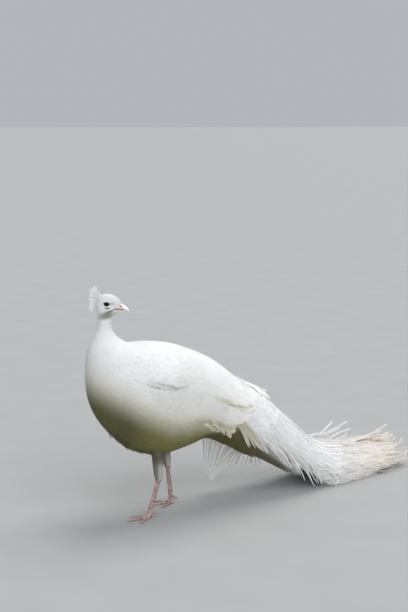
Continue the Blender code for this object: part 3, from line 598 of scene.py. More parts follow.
class Batch:
    """Feathers gathered from several calls, to be made into pieces of a limited size."""

    LIMIT = 170000

    def __init__(self):
        self.parts = []

    def add(self, points, normals, triangles, patch, colours, barb=0.0):
        """Arrays of (feathers, points, ...), with the triangles of one feather."""
        barb = np.broadcast_to(barb, points.shape[:2])[..., None]
        colours = np.broadcast_to(colours, points.shape)
        self.parts.append((points, normals, triangles, patch, colours, barb))

    def groups(self):
        """The feathers in lots of up to LIMIT triangles."""
        lots, size = [[]], 0
        for points, normals, triangles, *rest in self.parts:
            most = max(1, self.LIMIT // 6 // len(triangles))
            for first in range(0, len(points), most):
                part = slice(first, first + most)
                count = len(points[part]) * len(triangles)
                if size + count > self.LIMIT and lots[-1]:
                    lots.append([])
                    size = 0
                lots[-1].append((points[part], normals[part], triangles, *(a[part] for a in rest)))
                size += count
        return lots

    def make(self, name, finish, replaces=()):
        lots = self.groups()
        for index, lot in enumerate(lots):
            offset, faces = 0, []
            for points, _, triangles, *_ in lot:
                count, each = points.shape[:2]
                starts = offset + each * np.arange(count)[:, None, None]
                faces.append((triangles + starts).reshape(-1, 3))
                offset += count * each
            points, normals, patch, colours, barb = (
                np.concatenate([part[k].reshape(-1, part[k].shape[-1]) for part in lot])
                for k in (0, 1, 3, 4, 5)
            )
            label = f"{name}_{index}" if len(lots) > 1 else name
            covers = replaces if index == 0 else ()
            piece(label, points, np.concatenate(faces), finish, colours, normals, patch, barb, covers)


# One feather's pattern
def vane(barbs, slant, tooth, outline):
    """The places (along, across) and triangles of a vane whose edge is toothed by its barbs, from root to
    tip. Outline gives its half width, up to 1, at shares of its length, and slant how far on a barb ends."""
    stations = np.linspace(0, 1, barbs + 1)
    half = outline(stations)
    places = [(s, 0.0) for s in stations]
    triangles = []
    for side in (1, -1):
        for j in range(barbs):
            first = len(places)
            places.append((stations[j] + slant * half[j], side * half[j] * (1 - tooth)))
            places.append((stations[j + 1] + slant * half[j + 1], side * half[j + 1]))
            faces = [(j, j + 1, first + 1), (j, first + 1, first)]
            triangles += faces if side > 0 else [(a, c, b) for a, b, c in faces]
    places = np.array(places)
    return places, np.array(triangles), places[:, 0] - slant * np.abs(places[:, 1])


def tuft_outline(share):
    return np.sin(np.pi * np.clip(0.12 + 0.82 * share, 0, 1) ** 1.2) ** 0.7


def quill_outline(share):
    """Even, with a short root and a rounded tip."""
    rounded = np.sqrt(np.clip(1 - ((share - 0.72) / 0.30).clip(0) ** 2, 0.0, 1))
    return np.clip(np.minimum(0.30 + 2.6 * share, 1.0) * rounded, 0.10, 1)


TUFT = vane(9, 0.24, 0.16, tuft_outline)
SMALL_TUFT = vane(6, 0.22, 0.16, tuft_outline)
FINE_TUFT = vane(3, 0.30, 0.0, lambda share: np.sin(np.pi * (0.10 + 0.86 * share)) ** 0.8)
QUILL = vane(44, 0.05, 0.05, quill_outline)
LONG_TUFT = vane(14, 0.16, 0.30, tuft_outline)
STRAND = vane(4, 0.0, 0.0, lambda share: np.clip(1.15 - share, 0.12, 1))


# Small feathers over a surface
FLOOR_GAP = 0.0004  # no feather lies lower
BARE = 1e3  # a spacing so wide that no feather grows
ALL_ROUND = (-math.pi, math.pi)
RING_SCALE = (1 / LAST_RING, 1 / math.tau)  # from (ring, angle) to the unwrap's places


def picked(roots, keep):
    return roots[0][keep], roots[1][keep]


def spread(surface, u_range, v_range, spacing, steps=(160, 96)):
    """Roots (u, v), evenly far apart in a spiral, at the spacing(u, v) in metres."""
    u = np.linspace(*u_range, steps[0])
    v = np.linspace(*v_range, steps[1])
    grid_u, grid_v = grid((u[1:] + u[:-1]) / 2, (v[1:] + v[:-1]) / 2)
    _, _, along_u, along_v = framed(surface, grid_u, grid_v)
    area = np.linalg.norm(np.cross(along_u, along_v), axis=-1) * (u[1] - u[0]) * (v[1] - v[0])
    weight = area / spacing(grid_u, grid_v) ** 2
    total = np.concatenate(([0.0], np.cumsum(weight.sum(1))))
    count = int(total[-1])
    wanted = (np.arange(count) + 0.5) * total[-1] / count
    root_u = np.interp(wanted, total, u)
    row = np.clip(np.searchsorted(total, wanted) - 1, 0, len(weight) - 1)
    shares = np.cumsum(weight, 1)
    shares = np.concatenate((np.zeros((len(weight), 1)), shares / np.maximum(shares[:, -1:], 1e-12)), 1)[row]
    golden = np.mod(np.arange(count) * 0.6180339887, 1.0)
    column = np.clip((shares < golden[:, None]).sum(1) - 1, 0, len(v) - 2)
    pick = np.arange(count)
    low, high = shares[pick, column], shares[pick, column + 1]
    inside = (golden - low) / np.maximum(high - low, 1e-12)
    return root_u, v[column] + inside * (v[1] - v[0])


def tufts(batch, surface, roots, size, lifts, lie=None, broad=0.34, camber=0.10, twist=0.12, pattern=TUFT,
          colour=plumage_paint, scale=RING_SCALE, relief=0.006):
    """Small feathers that lie along a surface. Size and both lifts are numbers or arrays in metres, and lie
    is the way they point, or along u where none is given. Scale turns (u, v) into the unwrap's places."""
    u, v = roots
    count = len(u)
    _, normal, along_u, along_v = framed(surface, u, v)
    way = along_u if lie is None else np.broadcast_to(np.asarray(lie, float), along_u.shape)
    ahead = unit(way - normal * (way * normal).sum(-1, keepdims=True))
    across = np.cross(normal, ahead)
    turn = CHANCE.normal(0, twist, (count, 1))
    c, s = np.cos(turn), np.sin(turn)
    ahead, across = ahead * c + across * s, across * c - ahead * s
    uu, uv, vv = ((a * b).sum(-1) for a, b in ((along_u, along_u), (along_u, along_v), (along_v, along_v)))
    room = uu * vv - uv**2

    def step(way):
        by_u, by_v = (way * along_u).sum(-1), (way * along_v).sum(-1)
        return (vv * by_u - uv * by_v) / room, (uu * by_v - uv * by_u) / room

    places, triangles, barb = pattern
    s, c = places[:, 0], places[:, 1]
    size = np.broadcast_to(size, (count,)) * CHANCE.uniform(0.86, 1.14, count)
    long = size[:, None] * (s + CHANCE.normal(0, 0.010, (count, len(s))) * np.abs(c))
    broad = np.broadcast_to(broad, (count,))[:, None]
    wide = size[:, None] * broad * (c + CHANCE.normal(0, 0.03, (count, len(s))) * np.abs(c))
    (ahead_u, ahead_v), (across_u, across_v) = step(ahead), step(across)
    at_u = u[:, None] + ahead_u[:, None] * long + across_u[:, None] * wide
    at_v = v[:, None] + ahead_v[:, None] * long + across_v[:, None] * wide
    low, high = (np.broadcast_to(lift, (count,))[:, None] for lift in lifts)
    height = low + (high - low) * np.clip(s, 0, 1.1) ** 1.2 + size[:, None] * camber * broad * (1 - c**2)
    height = height + CHANCE.normal(0, relief, (count, 1)) * size[:, None] * s
    points, normals, _, _ = framed(surface, at_u, at_v)
    points = kept_above(points + normals * height[..., None], FLOOR_GAP)
    tilt = across[:, None] * (0.10 * c)[:, None] + CHANCE.normal(0, 0.014, (count, 1, 3))
    normals = unit(normals + tilt)
    patch = np.stack((v[:, None] * scale[1] + 0.0015 * c, u[:, None] * scale[0] + 0.003 * (s - 0.5)), -1)
    # Tone that differs at random between feathers, and painted shade towards each root, where it lies under
    # its neighbours
    shade = 0.022 * CHANCE.random((count, 1, 1)) + 0.035 * (1 - np.clip(s, 0, 1))[None, :, None]
    colours = colour(points) * (1 - shade)
    batch.add(points, normals, triangles, np.mod(patch, 1.0), colours, barb)


# Long feathers along paths
def at_share(values, shares):
    """Values of shape (feathers, stations, 3), read at shares of the way along their stations."""
    last = values.shape[1] - 1
    place = np.clip(shares, 0, 1) * last
    i = np.minimum(place.astype(int), last - 1)
    u = (place - i)[None, :, None]
    return values[:, i] * (1 - u) + values[:, i + 1] * u


def path_frames(path, normal):
    ahead = unit(np.gradient(path, axis=1))
    across = unit(np.cross(normal, ahead))
    return ahead, across, np.cross(ahead, across)


def cell_patch(count, s, c):
    """Each long feather has its own cell of the bake's map."""
    side = math.ceil(math.sqrt(count))
    index = np.arange(count)
    column, row = index % side, index // side
    u = (column[:, None] + 0.5 + 0.42 * np.clip(c, -1, 1)[None]) / side
    v = (row[:, None] + 0.05 + 0.9 * np.clip(s, 0, 1)[None]) / side
    return np.stack((u, v), -1)


def vanes_on(batch, path, normal, half_width, colour, pattern=QUILL, wrap=6.0, soft=0.35):
    """Closed vanes along paths, each with its edges cut into barbs."""
    ahead, across, normal = path_frames(path, normal)
    places, triangles, barb = pattern
    s, c = places[:, 0], places[:, 1]
    half = np.broadcast_to(half_width, (len(path),))[:, None]
    off = half * (c + CHANCE.normal(0, 0.02, (len(path), len(s))) * np.abs(c))
    side, up, fore = at_share(across, s), at_share(normal, s), at_share(ahead, s)
    beyond = np.clip(s - 1, 0, None) * np.linalg.norm(path[:, -1] - path[:, 0], axis=-1)[:, None]
    points = at_share(path, s) + side * off[..., None] + fore * beyond[..., None]
    points += up * (-(off**2) * wrap + 0.0006 * (1 - np.abs(c)))[..., None]
    points[..., 2] = np.maximum(points[..., 2], 0.0005)
    normals = unit(up + side * (soft * c)[None, :, None] + CHANCE.normal(0, 0.03, (len(path), 1, 3)))
    batch.add(points, normals, triangles, cell_patch(len(path), s, c), colour(points, s), barb)


def shafts_on(batch, path, normal, radius, colour, sides=4):
    """A tapering quill along each path."""
    _, across, normal = path_frames(path, normal)
    steps = path.shape[1]
    s = np.linspace(0, 1, steps)
    thick = radius * (1 - 0.82 * s)
    turns = math.tau * np.arange(sides) / sides
    way = across[:, :, None] * np.cos(turns)[:, None] + normal[:, :, None] * np.sin(turns)[:, None]
    points = path[:, :, None] + way * thick[None, :, None, None]
    points = kept_above(points, FLOOR_GAP)
    faces = []
    for i in range(steps - 1):
        for j in range(sides):
            k = (j + 1) % sides
            a, b, c, d = i * sides + j, i * sides + k, (i + 1) * sides + k, (i + 1) * sides + j
            faces += [(a, b, c), (a, c, d)]
    count = len(path)
    share, off = np.repeat(s, sides), np.tile(np.linspace(-0.05, 0.05, sides), steps)
    flat = points.reshape(count, -1, 3)
    batch.add(flat, way.reshape(count, -1, 3), faces, cell_patch(count, share, off), colour(flat, share))


def barbs_on(batch, path, normal, per_side, reach, slant, thick, colour, start=0.0, wrap=5.0, rough=0.20):
    """Loose barbs on both sides of each path: thin strips that bend towards the tip. Reach is their length
    in metres and slant their angle from the shaft, each a function of the share of the way along."""
    ahead, across, normal = path_frames(path, normal)
    count = len(path)
    s = np.repeat(np.linspace(start, 0.995, per_side), 2)
    side = np.tile((1.0, -1.0), per_side)
    base, fore, out, up = (at_share(a, s) for a in (path, ahead, across, normal))
    shape = (count, len(s))
    length = reach(s)[None] * CHANCE.uniform(0.75, 1.12, shape)
    angle = slant(s)[None] + CHANCE.normal(0, rough * 0.5, shape)
    lean = CHANCE.normal(0, rough * 0.35, shape)
    curl = 0.25  # how far a barb turns back towards the tip, as a share of its angle
    drawn = [base]
    for share in (0.55, 1.0):
        turn = angle * (1 - curl * share)
        forward = length * share * np.cos(turn)
        sideways = length * share * np.sin(turn)
        height = length * share * lean - sideways**2 * wrap
        place = base + fore * forward[..., None] + out * (sideways * side)[..., None]
        drawn.append(place + up * height[..., None])
    half = thick * CHANCE.uniform(0.7, 1.2, shape)[..., None]
    flat = unit(np.cross(up, unit(drawn[2] - drawn[0])))
    corners = [drawn[0] - flat * half, drawn[0] + flat * half, drawn[1] - flat * half * 0.8,
               drawn[1] + flat * half * 0.8, drawn[2]]
    points = np.stack(corners, 2)
    points = kept_above(points, FLOOR_GAP)
    tilt = unit(up + flat * CHANCE.normal(0, 0.16, shape)[..., None])
    normals = np.repeat(tilt[:, :, None], 5, 2)
    one = np.array(((0, 2, 1), (1, 2, 3), (2, 4, 3)))
    triangles = (one[None] + 5 * np.arange(len(s))[:, None, None]).reshape(-1, 3)
    share = np.repeat(s, 5)
    off = (side[:, None] * np.array((0.1, 0.1, 0.5, 0.5, 0.9))[None]).ravel()
    points = points.reshape(count, -1, 3)
    patch, colours = cell_patch(count, share, off), colour(points, share)
    batch.add(points, normals.reshape(count, -1, 3), triangles, patch, colours)


# The tail's feathers, in the hollow's painted shade
def hollow_shade_paint(points, _):
    return under_paint(points)


# The skin
def grid_mesh(points):
    """Triangles of a grid of points, closed round its second way."""
    rows, columns = points.shape[:2]
    faces = []
    for i in range(rows - 1):
        for j in range(columns):
            k = (j + 1) % columns
            a, b, c, d = i * columns + j, i * columns + k, (i + 1) * columns + k, (i + 1) * columns + j
            faces += [(a, c, b), (a, d, c)]
    return faces


SKIN_DEPTH = 0.0042
TAIL_CORE_END = 13.6


def core_scale(t):
    """The flesh thins out under the tail's feathers."""
    share = np.clip((t - VENT) / (TAIL_CORE_END - VENT), 0.0, 1.0)
    return 1.0 - 0.80 * share**1.1


def coat_depth(t):
    return 0.0008 + (SKIN_DEPTH - 0.0008) * eased(t, 1.0, 4.5)


def build_skin():
    """One skin from crown to tail and down to the hocks, inside the coat."""
    t = np.linspace(0.0, TAIL_CORE_END, 150)
    angle = full_turn(96)
    grid_t, grid_a = grid(t, angle)
    _, normals, _, _ = framed(form, grid_t, grid_a)
    body = form(grid_t, grid_a, core_scale(grid_t)) - normals * coat_depth(grid_t)[..., None]
    t = np.linspace(1.4, HEAD_TOP - 0.02, 60)
    head_t, head_a = grid(t, angle)
    points, normals, _, _ = framed(head_form, head_t, head_a)
    head = points - normals * 0.0007
    shells = [body, head]
    for side in SIDES:
        surface = thigh_form(side)
        share, turn = grid(np.linspace(0, 1, 24), full_turn(32))
        points, normals, _, _ = framed(surface, share, turn)
        shells.append(points - normals * 0.0016)
    flat, faces, offset = [], [], 0
    for shell in shells:
        faces.append(np.array(grid_mesh(shell)) + offset)
        flat.append(shell.reshape(-1, 3))
        offset += shell.shape[0] * shell.shape[1]
    flat = np.concatenate(flat)
    colours = plumage_paint(flat) * np.array((0.97, 0.93, 0.89))
    piece("skin", flat, np.concatenate(faces), "bare_skin", colours,
          replaces=("neck", "torso", "head", "thigh_left", "thigh_right"))


# The coat
def body_size(t):
    """Length of a contour feather at each ring."""
    rings = (0, 1, 2, 3, 4, 5, 6, 8, 10, 11, 13)
    sizes = (0.0095, 0.0110, 0.0145, 0.019, 0.023, 0.027, 0.030, 0.034, 0.040, 0.046, 0.055)
    return np.interp(t, rings, sizes)


def build_body_coat():
    """Hair-like feathers on the neck, which give way to broader ones on the body."""
    coat = Batch()

    def spacing(t, angle):
        return body_size(t) * (0.150 + 0.095 * eased(t, 1.5, 4.5))

    t, angle = spread(form, (0.0, 12.6), ALL_ROUND, spacing)
    broad = 0.15 + 0.12 * eased(t, 2.0, 4.5)
    depth = coat_depth(t)
    tips = 0.0002 + 0.0005 * eased(t, 3, 8)
    fine = CHANCE.random(len(t)) > eased(t, 2.4, 3.8)
    for chosen, pattern in ((fine, FINE_TUFT), (~fine, SMALL_TUFT)):
        roots, lifts = (t[chosen], angle[chosen]), (-0.65 * depth[chosen], tips[chosen])
        tufts(coat, form, roots, body_size(t[chosen]), lifts, broad=broad[chosen], camber=0.05,
              pattern=pattern, relief=0.004)
    ragged = CHANCE.uniform(6.5, 8.3, 22), math.pi + CHANCE.uniform(-0.45, 0.45, 22)
    tufts(coat, form, ragged, 0.030, (-0.001, 0.0065), broad=0.16, twist=0.35,
          pattern=LONG_TUFT, relief=0.06)
    coat.make("coat_body", "plumage")


def from_eye(x, z):
    """How far a place of the side view is from the eye's middle: 1 on the rim of the dark almond."""
    return np.hypot((x - EYE_AT[0]) / ALMOND[0], (z - EYE_AT[2]) / ALMOND[1]) / 0.98


def face_is_bare(x, y, z):
    """Places in the head's frame where no feathers grow: eye, bill and the skin round them."""
    eye = from_eye(x, z) < 1
    bill = (x > 0.0470 + 0.35 * np.clip(z - 0.030, 0, None)) & (z > 0.021) & (z < 0.0445)
    return (eye & (np.abs(y) > 0.006)) | bill | ((x > 0.0345) & (z > 0.0250) & (z < 0.0312))


def build_head_coat():
    coat = Batch()

    def spacing(t, angle):
        x, y, z = to_head(head_form(t, angle))
        even = 0.00095 + 0.00035 * eased(-x, -0.030, 0.015)
        return np.where(face_is_bare(x, y, z), BARE, even)

    roots = spread(head_form, (1.0, HEAD_TOP - 0.02), ALL_ROUND, spacing)
    keep = CHANCE.random(len(roots[0])) < eased(roots[0], 0.9, 1.8)
    roots = picked(roots, keep)
    x, y, z = to_head(head_form(*roots))
    size = 0.0040 + 0.0045 * eased(-x, -0.042, 0.004)
    ahead = (x - EYE_AT[0]) * 0.8 + (z - EYE_AT[2]) * 0.6 > 0
    room = 0.0012 + 0.0072 * np.clip(from_eye(x, z) - 1, 0, None)
    size = np.where(ahead, np.minimum(size, room), size)
    lie = turned((-0.80, 0.0, -0.60)) - HEAD_AT
    under = 1 - eased(roots[0], 1.0, 2.6)
    tufts(coat, head_form, roots, size, (-0.0005 - 0.0003 * under, 0.0002 - 0.0008 * under), lie=lie,
          broad=np.clip(0.00062 / size, 0.15, 0.5), pattern=FINE_TUFT, camber=0.03,
          scale=(1 / HEAD_TOP, 1 / math.tau), twist=0.12, relief=0.004)
    coat.make("coat_head", "plumage")


# Painted shade at the thigh's top, under the belly's edge
THIGH_TOP_SHADE = np.array((0.105, 0.096, 0.058))


def build_thigh_coat():
    coat = Batch()
    for side in SIDES:
        surface = thigh_form(side)
        roots = spread(surface, (0.15, 0.95), ALL_ROUND, lambda s, a: 0.0050 - 0.0026 * s, (60, 40))
        size = 0.021 - 0.013 * roots[0]

        def leg_paint(points):
            x, z = points[..., 0], points[..., 2]
            middle = HIP[side][0] + (HOCK[side][0] - HIP[side][0]) * (HIP[side][2] - z) / 0.143
            grey = mixed(np.broadcast_to(WHITE * (0.80, 0.76, 0.70), points.shape), GREY, 0.22)
            # painted shade down the thigh's front
            front = eased(middle + 0.001 - x, 0.0, 0.012) * 0.75
            streak = 0.5 + 0.5 * np.sin(900 * x + 60 * z)
            grey = mixed(grey, DUSK, 0.30 * streak)
            return mixed(mixed(grey, DUSK * 0.7, front), THIGH_TOP_SHADE, 0.95 * eased(z, 0.148, 0.190))

        tufts(coat, surface, roots, size, (-0.0016, 0.0005), broad=0.24, pattern=SMALL_TUFT,
              colour=leg_paint, scale=(1.0, 1.0))
    coat.make("coat_thighs", "plumage")


# Wings
UPPER_HIGH = 0.0120
LOWER_HIGH = 0.0058
WING_LIE = (0.93, 0.0, -0.36)
WING_START = -0.112


def upper_wing(t, angle):
    """The body's form with the upper group's bulk on it, carried on below its edge."""
    points, normals, _, _ = framed(form, t, angle)
    x, z = points[..., 0], points[..., 2]
    top, fold = line_at(UPPER_TOP, x), line_at(UPPER_LOW, x)
    share = np.clip((top - z) / (top - fold), -1.0, 1.0)
    rise = eased(share, -0.10, 0.75) * eased(x, WING_START, -0.030) * (1 - 0.65 * eased(x, 0.13, 0.32))
    rise = rise * (1 - 0.35 * eased(x, -0.01, 0.07))
    return points + normals * (UPPER_HIGH * rise)[..., None]


def lower_wing(t, angle):
    """The body's form with the lower group's bulk on it, carried on above and below."""
    points, normals, _, _ = framed(form, t, angle)
    x, z = points[..., 0], points[..., 2]
    fold, low = line_at(UPPER_LOW, x), line_at(LOWER_LOW, x)
    down = np.clip((fold - z) / (fold - low), 0.0, 1.2)
    rise = 1 - (1 - eased(x, 0.02, 0.15)) * eased(down, 0.0, 1.0)
    rise = rise * eased(x, WING_START, -0.030) * (1 - 0.5 * eased(x, 0.16, 0.28))
    near_fold = eased(x, -0.02, 0.06) * (1 - eased(down, 0.0, 0.55))
    return points + normals * (LOWER_HIGH * rise + 0.0032 * near_fold)[..., None]


def on_side(side, x, z):
    t, angle = ring_at(x, z)
    return t, side * angle


def wing_row(batch, side, count, roots, tips, half_width, lifts, sag, paint, outward=0.0):
    """A row of quills, from the lowest to the highest, each over the next one down."""
    rank = np.linspace(0, 1, count)
    root, tip = along(roots, rank), along(tips, rank)
    tip = tip + CHANCE.normal(0, 0.0025, tip.shape)
    s = np.linspace(0, 1, 26)
    ahead = unit(tip - root)
    belly = np.stack((ahead[:, 1], -ahead[:, 0]), -1)
    bend = sag * 4 * s * (1 - s)
    flat = root[:, None] + (tip - root)[:, None] * s[None, :, None] + belly[:, None] * bend[None, :, None]
    t, angle = on_side(side, flat[..., 0], flat[..., 1])
    base, normal, _, _ = framed(form, t, angle)
    lift = lifts[0] + (lifts[1] - lifts[0]) * s[None] + 0.0006 * rank[:, None]
    lift = lift + outward * rank[:, None] * s[None] ** 2
    path = base + normal * lift[..., None]
    vanes_on(batch, path, normal, half_width, paint)
    shafts_on(batch, path + normal * 0.0002, normal, 0.0008, paint)


def cream_tips(points, share):
    return mixed(paint_without_hollow_shade(points), CREAM * 1.04, 0.80 * eased(share, 0.80, 0.98))


def soft_edge(points, share):
    return mixed(paint_without_hollow_shade(points), CREAM, 0.22 * eased(share, 0.5, 1.0))


def wing_tufts(batch, side, surface, covers, size, spacing, edge):
    """Small feathers over one group. Covers(x, z) says where they root and edge(x, z) how much room is left
    before the group's lower edge."""

    def gap(t, angle):
        points = form(t, angle)
        x, z = points[..., 0], points[..., 2]
        inside = covers(x, z) & (side * np.sin(angle) > 0)
        return np.where(inside, spacing, BARE)

    roots = spread(surface, (3.6, 11.9), ALL_ROUND, gap, (160, 240))
    place = form(*roots)
    x, z = place[..., 0], place[..., 2]
    keep = covers(x, z)
    roots, x, z = picked(roots, keep), x[keep], z[keep]
    long = np.clip(edge(x, z) / 0.36, 0.010, size(x))
    tufts(batch, surface, roots, long, (-0.0026, 0.0004), lie=WING_LIE, twist=0.05, camber=0.05, broad=0.32,
          colour=paint_without_hollow_shade, relief=0.004)


def build_wing(name, side):
    wing = Batch()
    further, outward = (0.03, 0.002) if side > 0 else (0.0, 0.0)  # looser at the end
    wing_row(wing, side, 6, ((0.040, 0.358), (0.070, 0.340), (0.095, 0.330)),
             ((0.118, 0.286), (0.165, 0.258), (0.222, 0.246)), 0.013, (0.0006, 0.0040), 0.006, cream_tips)
    roots = (0.060, 0.345), (0.085, 0.362), (0.100, 0.384), (0.112, 0.400), (0.118, 0.415)
    tips = [(0.190, 0.266), (0.240, 0.262), (0.272, 0.288)]
    tips += [(0.300 + further, 0.322), (0.315 + further, 0.350)]
    wing_row(wing, side, 13, roots, tips, 0.014, (0.0010, 0.0056), 0.004, soft_edge, outward)
    wing_row(wing, side, 8, ((0.035, 0.428), (0.065, 0.436), (0.095, 0.440), (0.125, 0.430)),
             ((0.150, 0.373), (0.195, 0.354), (0.240, 0.330), (0.285, 0.318)), 0.0135, (0.0060, 0.0095),
             0.004, soft_edge)

    def on_lower(x, z):
        low, fold = line_at(LOWER_LOW, x), line_at(UPPER_LOW, x)
        return (z > low + 0.010 * (x > 0.06)) & (z < fold + 0.012) & (x > -0.11) & (x < 0.135)

    def on_upper(x, z):
        top, fold = line_at(UPPER_TOP, x), line_at(UPPER_LOW, x)
        return (z > fold + 0.010) & (z < top + 0.35 * (top - fold)) & (x > WING_START) & (x < 0.245)

    wing_tufts(wing, side, lower_wing, on_lower, lambda x: 0.030 + 0.020 * eased(x, -0.05, 0.12), 0.0088,
               lambda x, z: z - line_at(LOWER_LOW, x) + 0.03 * (x < 0.06))
    wing_tufts(wing, side, upper_wing, on_upper, lambda x: 0.024 + 0.026 * eased(x, -0.08, 0.20), 0.0082,
               lambda x, z: z - line_at(UPPER_LOW, x))
    wing.make(name + "_feathers", "flight_feather", replaces=(name,))


def build_curls(name, side):
    """The curled cream tips that stand in a row along the wing's lower edge."""
    curls = Batch()
    count, steps = 12, 12
    rank = np.linspace(0, 1, count)
    root = along(((0.112, 0.312), (0.150, 0.290), (0.196, 0.266)), rank)
    tip = along(((0.132, 0.287), (0.167, 0.259), (0.218, 0.231)), rank)
    tip = tip + CHANCE.normal(0, 0.0018, (count, 2))
    s = np.linspace(0, 1, steps)
    flat = root[:, None] + (tip - root)[:, None] * s[None, :, None]
    flat[..., 0] += 0.004 * np.sin(math.pi * s)[None]
    t, angle = on_side(side, flat[..., 0], flat[..., 1])
    base, normal, _, _ = framed(form, t, angle)
    path = base + normal * (0.0056 + 0.0070 * eased(s, 0.45, 1.0))[None, :, None]
    vanes_on(curls, path, normal, 0.0037, cream_tips, wrap=30.0, soft=0.5)
    shafts_on(curls, path, normal, 0.0006, cream_tips)
    curls.make("wing_curls_" + name, "flight_feather")


FAR_TIPS = (
    # the roots, two bends and the ends, each from the outermost feather to the innermost
    ((0.236, 0.072, 0.350), (0.250, 0.058, 0.374), (0.258, 0.030, 0.394), (0.262, 0.008, 0.400)),
    ((0.325, 0.086, 0.318), (0.326, 0.066, 0.360), (0.324, 0.036, 0.370), (0.326, 0.010, 0.363)),
    ((0.370, 0.090, 0.296), (0.376, 0.068, 0.343), (0.370, 0.038, 0.346), (0.366, 0.012, 0.336)),
    ((0.398, 0.086, 0.270), (0.412, 0.066, 0.320), (0.404, 0.038, 0.318), (0.398, 0.014, 0.310)),
)


def build_far_tips():
    """The right wing's last feathers, a low roof that shows past the back's outline."""
    tips = Batch()
    rank = np.linspace(0, 1, 26)
    *bends, end = (along(places, rank) for places in FAR_TIPS)
    roof = curved(np.stack((*bends, end), 1))
    normal = unit(np.cross(np.gradient(roof, axis=0), np.gradient(roof, axis=1)))
    end = end + CHANCE.normal(0, 0.003, end.shape)
    path = curved(np.stack((*bends, end), 1))
    vanes_on(tips, path, normal, 0.0105, soft_edge, wrap=12.0)
    shafts_on(tips, path, normal, 0.0007, soft_edge)
    tips.make("wing_right_tips", "flight_feather")


# Train
TRAIN_LAYERS = (
    # last ring, count, widest angle of a tip in degrees
    (13.4, 30, 114), (14.2, 32, 112), (15.0, 32, 108), (15.8, 32, 102), (16.5, 34, 96), (17.2, 36, 90),
    (17.8, 36, 86), (18.4, 36, 82), (19.0, 38, 78),
)
BARB_STEP = 0.0034
TRAIN_THIN = 0.24  # of the ring's size, from the outer layer to the inner


def train_scale(layer, t):
    """Size of a layer's ring: it comes up to the surface as the layers above it end."""
    step = TRAIN_THIN / len(TRAIN_LAYERS)
    above = [1 - eased(t, end - 0.7, end + 0.5) for end, _, _ in TRAIN_LAYERS[:layer]]
    return 1.0 - step * sum(above, np.zeros_like(t))


def train_paths(layer):
    end, count, widest = TRAIN_LAYERS[layer]
    start = 10.6 + 0.10 * layer
    widest = math.radians(widest)
    place = (np.arange(count) + 0.5 - count / 2 + 0.25 * (-1) ** layer) / (count / 2)
    angle = widest * place + CHANCE.normal(0, 0.03, count)
    root_angle = math.radians(82) * place
    reach = end - CHANCE.uniform(0.0, 0.8, count) - 0.45 * place**2
    s = np.linspace(0, 1, 30)
    t = start + (reach - start)[:, None] * s[None]
    here = root_angle[:, None] + (angle - root_angle)[:, None] * np.minimum(1.0, s * 1.8)[None]
    here = here + CHANCE.normal(0, 0.07, (count, 1)) * eased(t, 16.5, 19.0)
    sway = CHANCE.uniform(0, math.tau, (count, 1)), CHANCE.uniform(0.8, 1.8, (count, 1))
    here = here + 0.030 * np.sin(t * sway[1] + sway[0]) * eased(s, 0.1, 0.4)
    scale = train_scale(layer, t) * (1 - 0.16 * np.clip(1 - (t - start) / 0.6, 0, 1))
    path = form(t, here, scale)
    _, normal, _, _ = framed(form, t, here)
    splay = CHANCE.uniform(-0.2, 1.0, (count, 1)) * 0.008 * eased(s, 0.75, 1.0)[None] * np.cos(here).clip(0)
    path = path + normal * splay[..., None]
    droop = eased(np.abs(angle), math.radians(70), math.radians(105))[:, None] * 0.030
    path[..., 2] -= droop * np.clip(s - 0.6, 0, None)[None] ** 2 / 0.16
    path[..., 2] = np.maximum(path[..., 2], 0.0012)
    return path, normal


def build_coverts():
    """Long, soft feathers that lie over the rump and the first half of the train."""
    coverts = Batch()

    def spacing(t, angle):
        widest = math.radians(96) - math.radians(30) * eased(t, 13.0, 17.5)
        return np.where(np.abs(angle) < widest, 0.0098 + 0.0030 * eased(t, 14.5, 17.5), BARE)

    roots = spread(form, (10.9, 17.4), ALL_ROUND, spacing, (200, 160))
    keep = np.abs(roots[1]) < math.radians(98)
    roots = picked(roots, keep)
    size = 0.050 + 0.032 * eased(roots[0], 11, 13.5)
    broad = 0.24 - 0.16 * eased(roots[0], 11.2, 14.0)
    tufts(coverts, form, roots, size, (-0.0030, 0.0007), broad=broad, twist=0.06, camber=0.04,
          colour=paint_without_hollow_shade, pattern=LONG_TUFT, relief=0.005)
    coverts.make("train_coverts", "flight_feather")


def build_silk():
    """Fine loose strands that lie over the train."""
    silk = Batch()

    def spacing(t, angle):
        widest = math.radians(114) - math.radians(34) * eased(t, 15.5, 18.3)
        return np.where(np.abs(angle) < widest, 0.0064 - 0.0016 * eased(t, 15.5, 18.0), BARE)

    roots = spread(form, (12.2, 18.3), ALL_ROUND, spacing, (200, 160))
    keep = np.abs(roots[1]) < math.radians(116)
    roots = picked(roots, keep)
    loose = eased(roots[0], 14.0, 17.5)
    tufts(silk, form, roots, 0.078, (-0.0012, 0.0016 + 0.0028 * loose), broad=0.0085, camber=0.0, twist=0.10,
          pattern=STRAND, colour=paint_without_hollow_shade, relief=0.028)
    silk.make("train_silk", "flight_feather")


def train_paint(points, share):
    return mixed(paint_without_hollow_shade(points), TAN, 0.12 * eased(share, 0.85, 1.0) * eased(points[..., 0], 0.4, 0.8))


def deep_train_paint(points, share):
    """Painted shade: the layers below take the paint of places 3 cm lower, dark where they show between the
    strands of the lower edge.
    """
    return under_paint(points - (0.0, 0.0, 0.030))


def train_reach(s):
    return 0.030 + 0.016 * np.sin(math.pi * s) - 0.016 * s


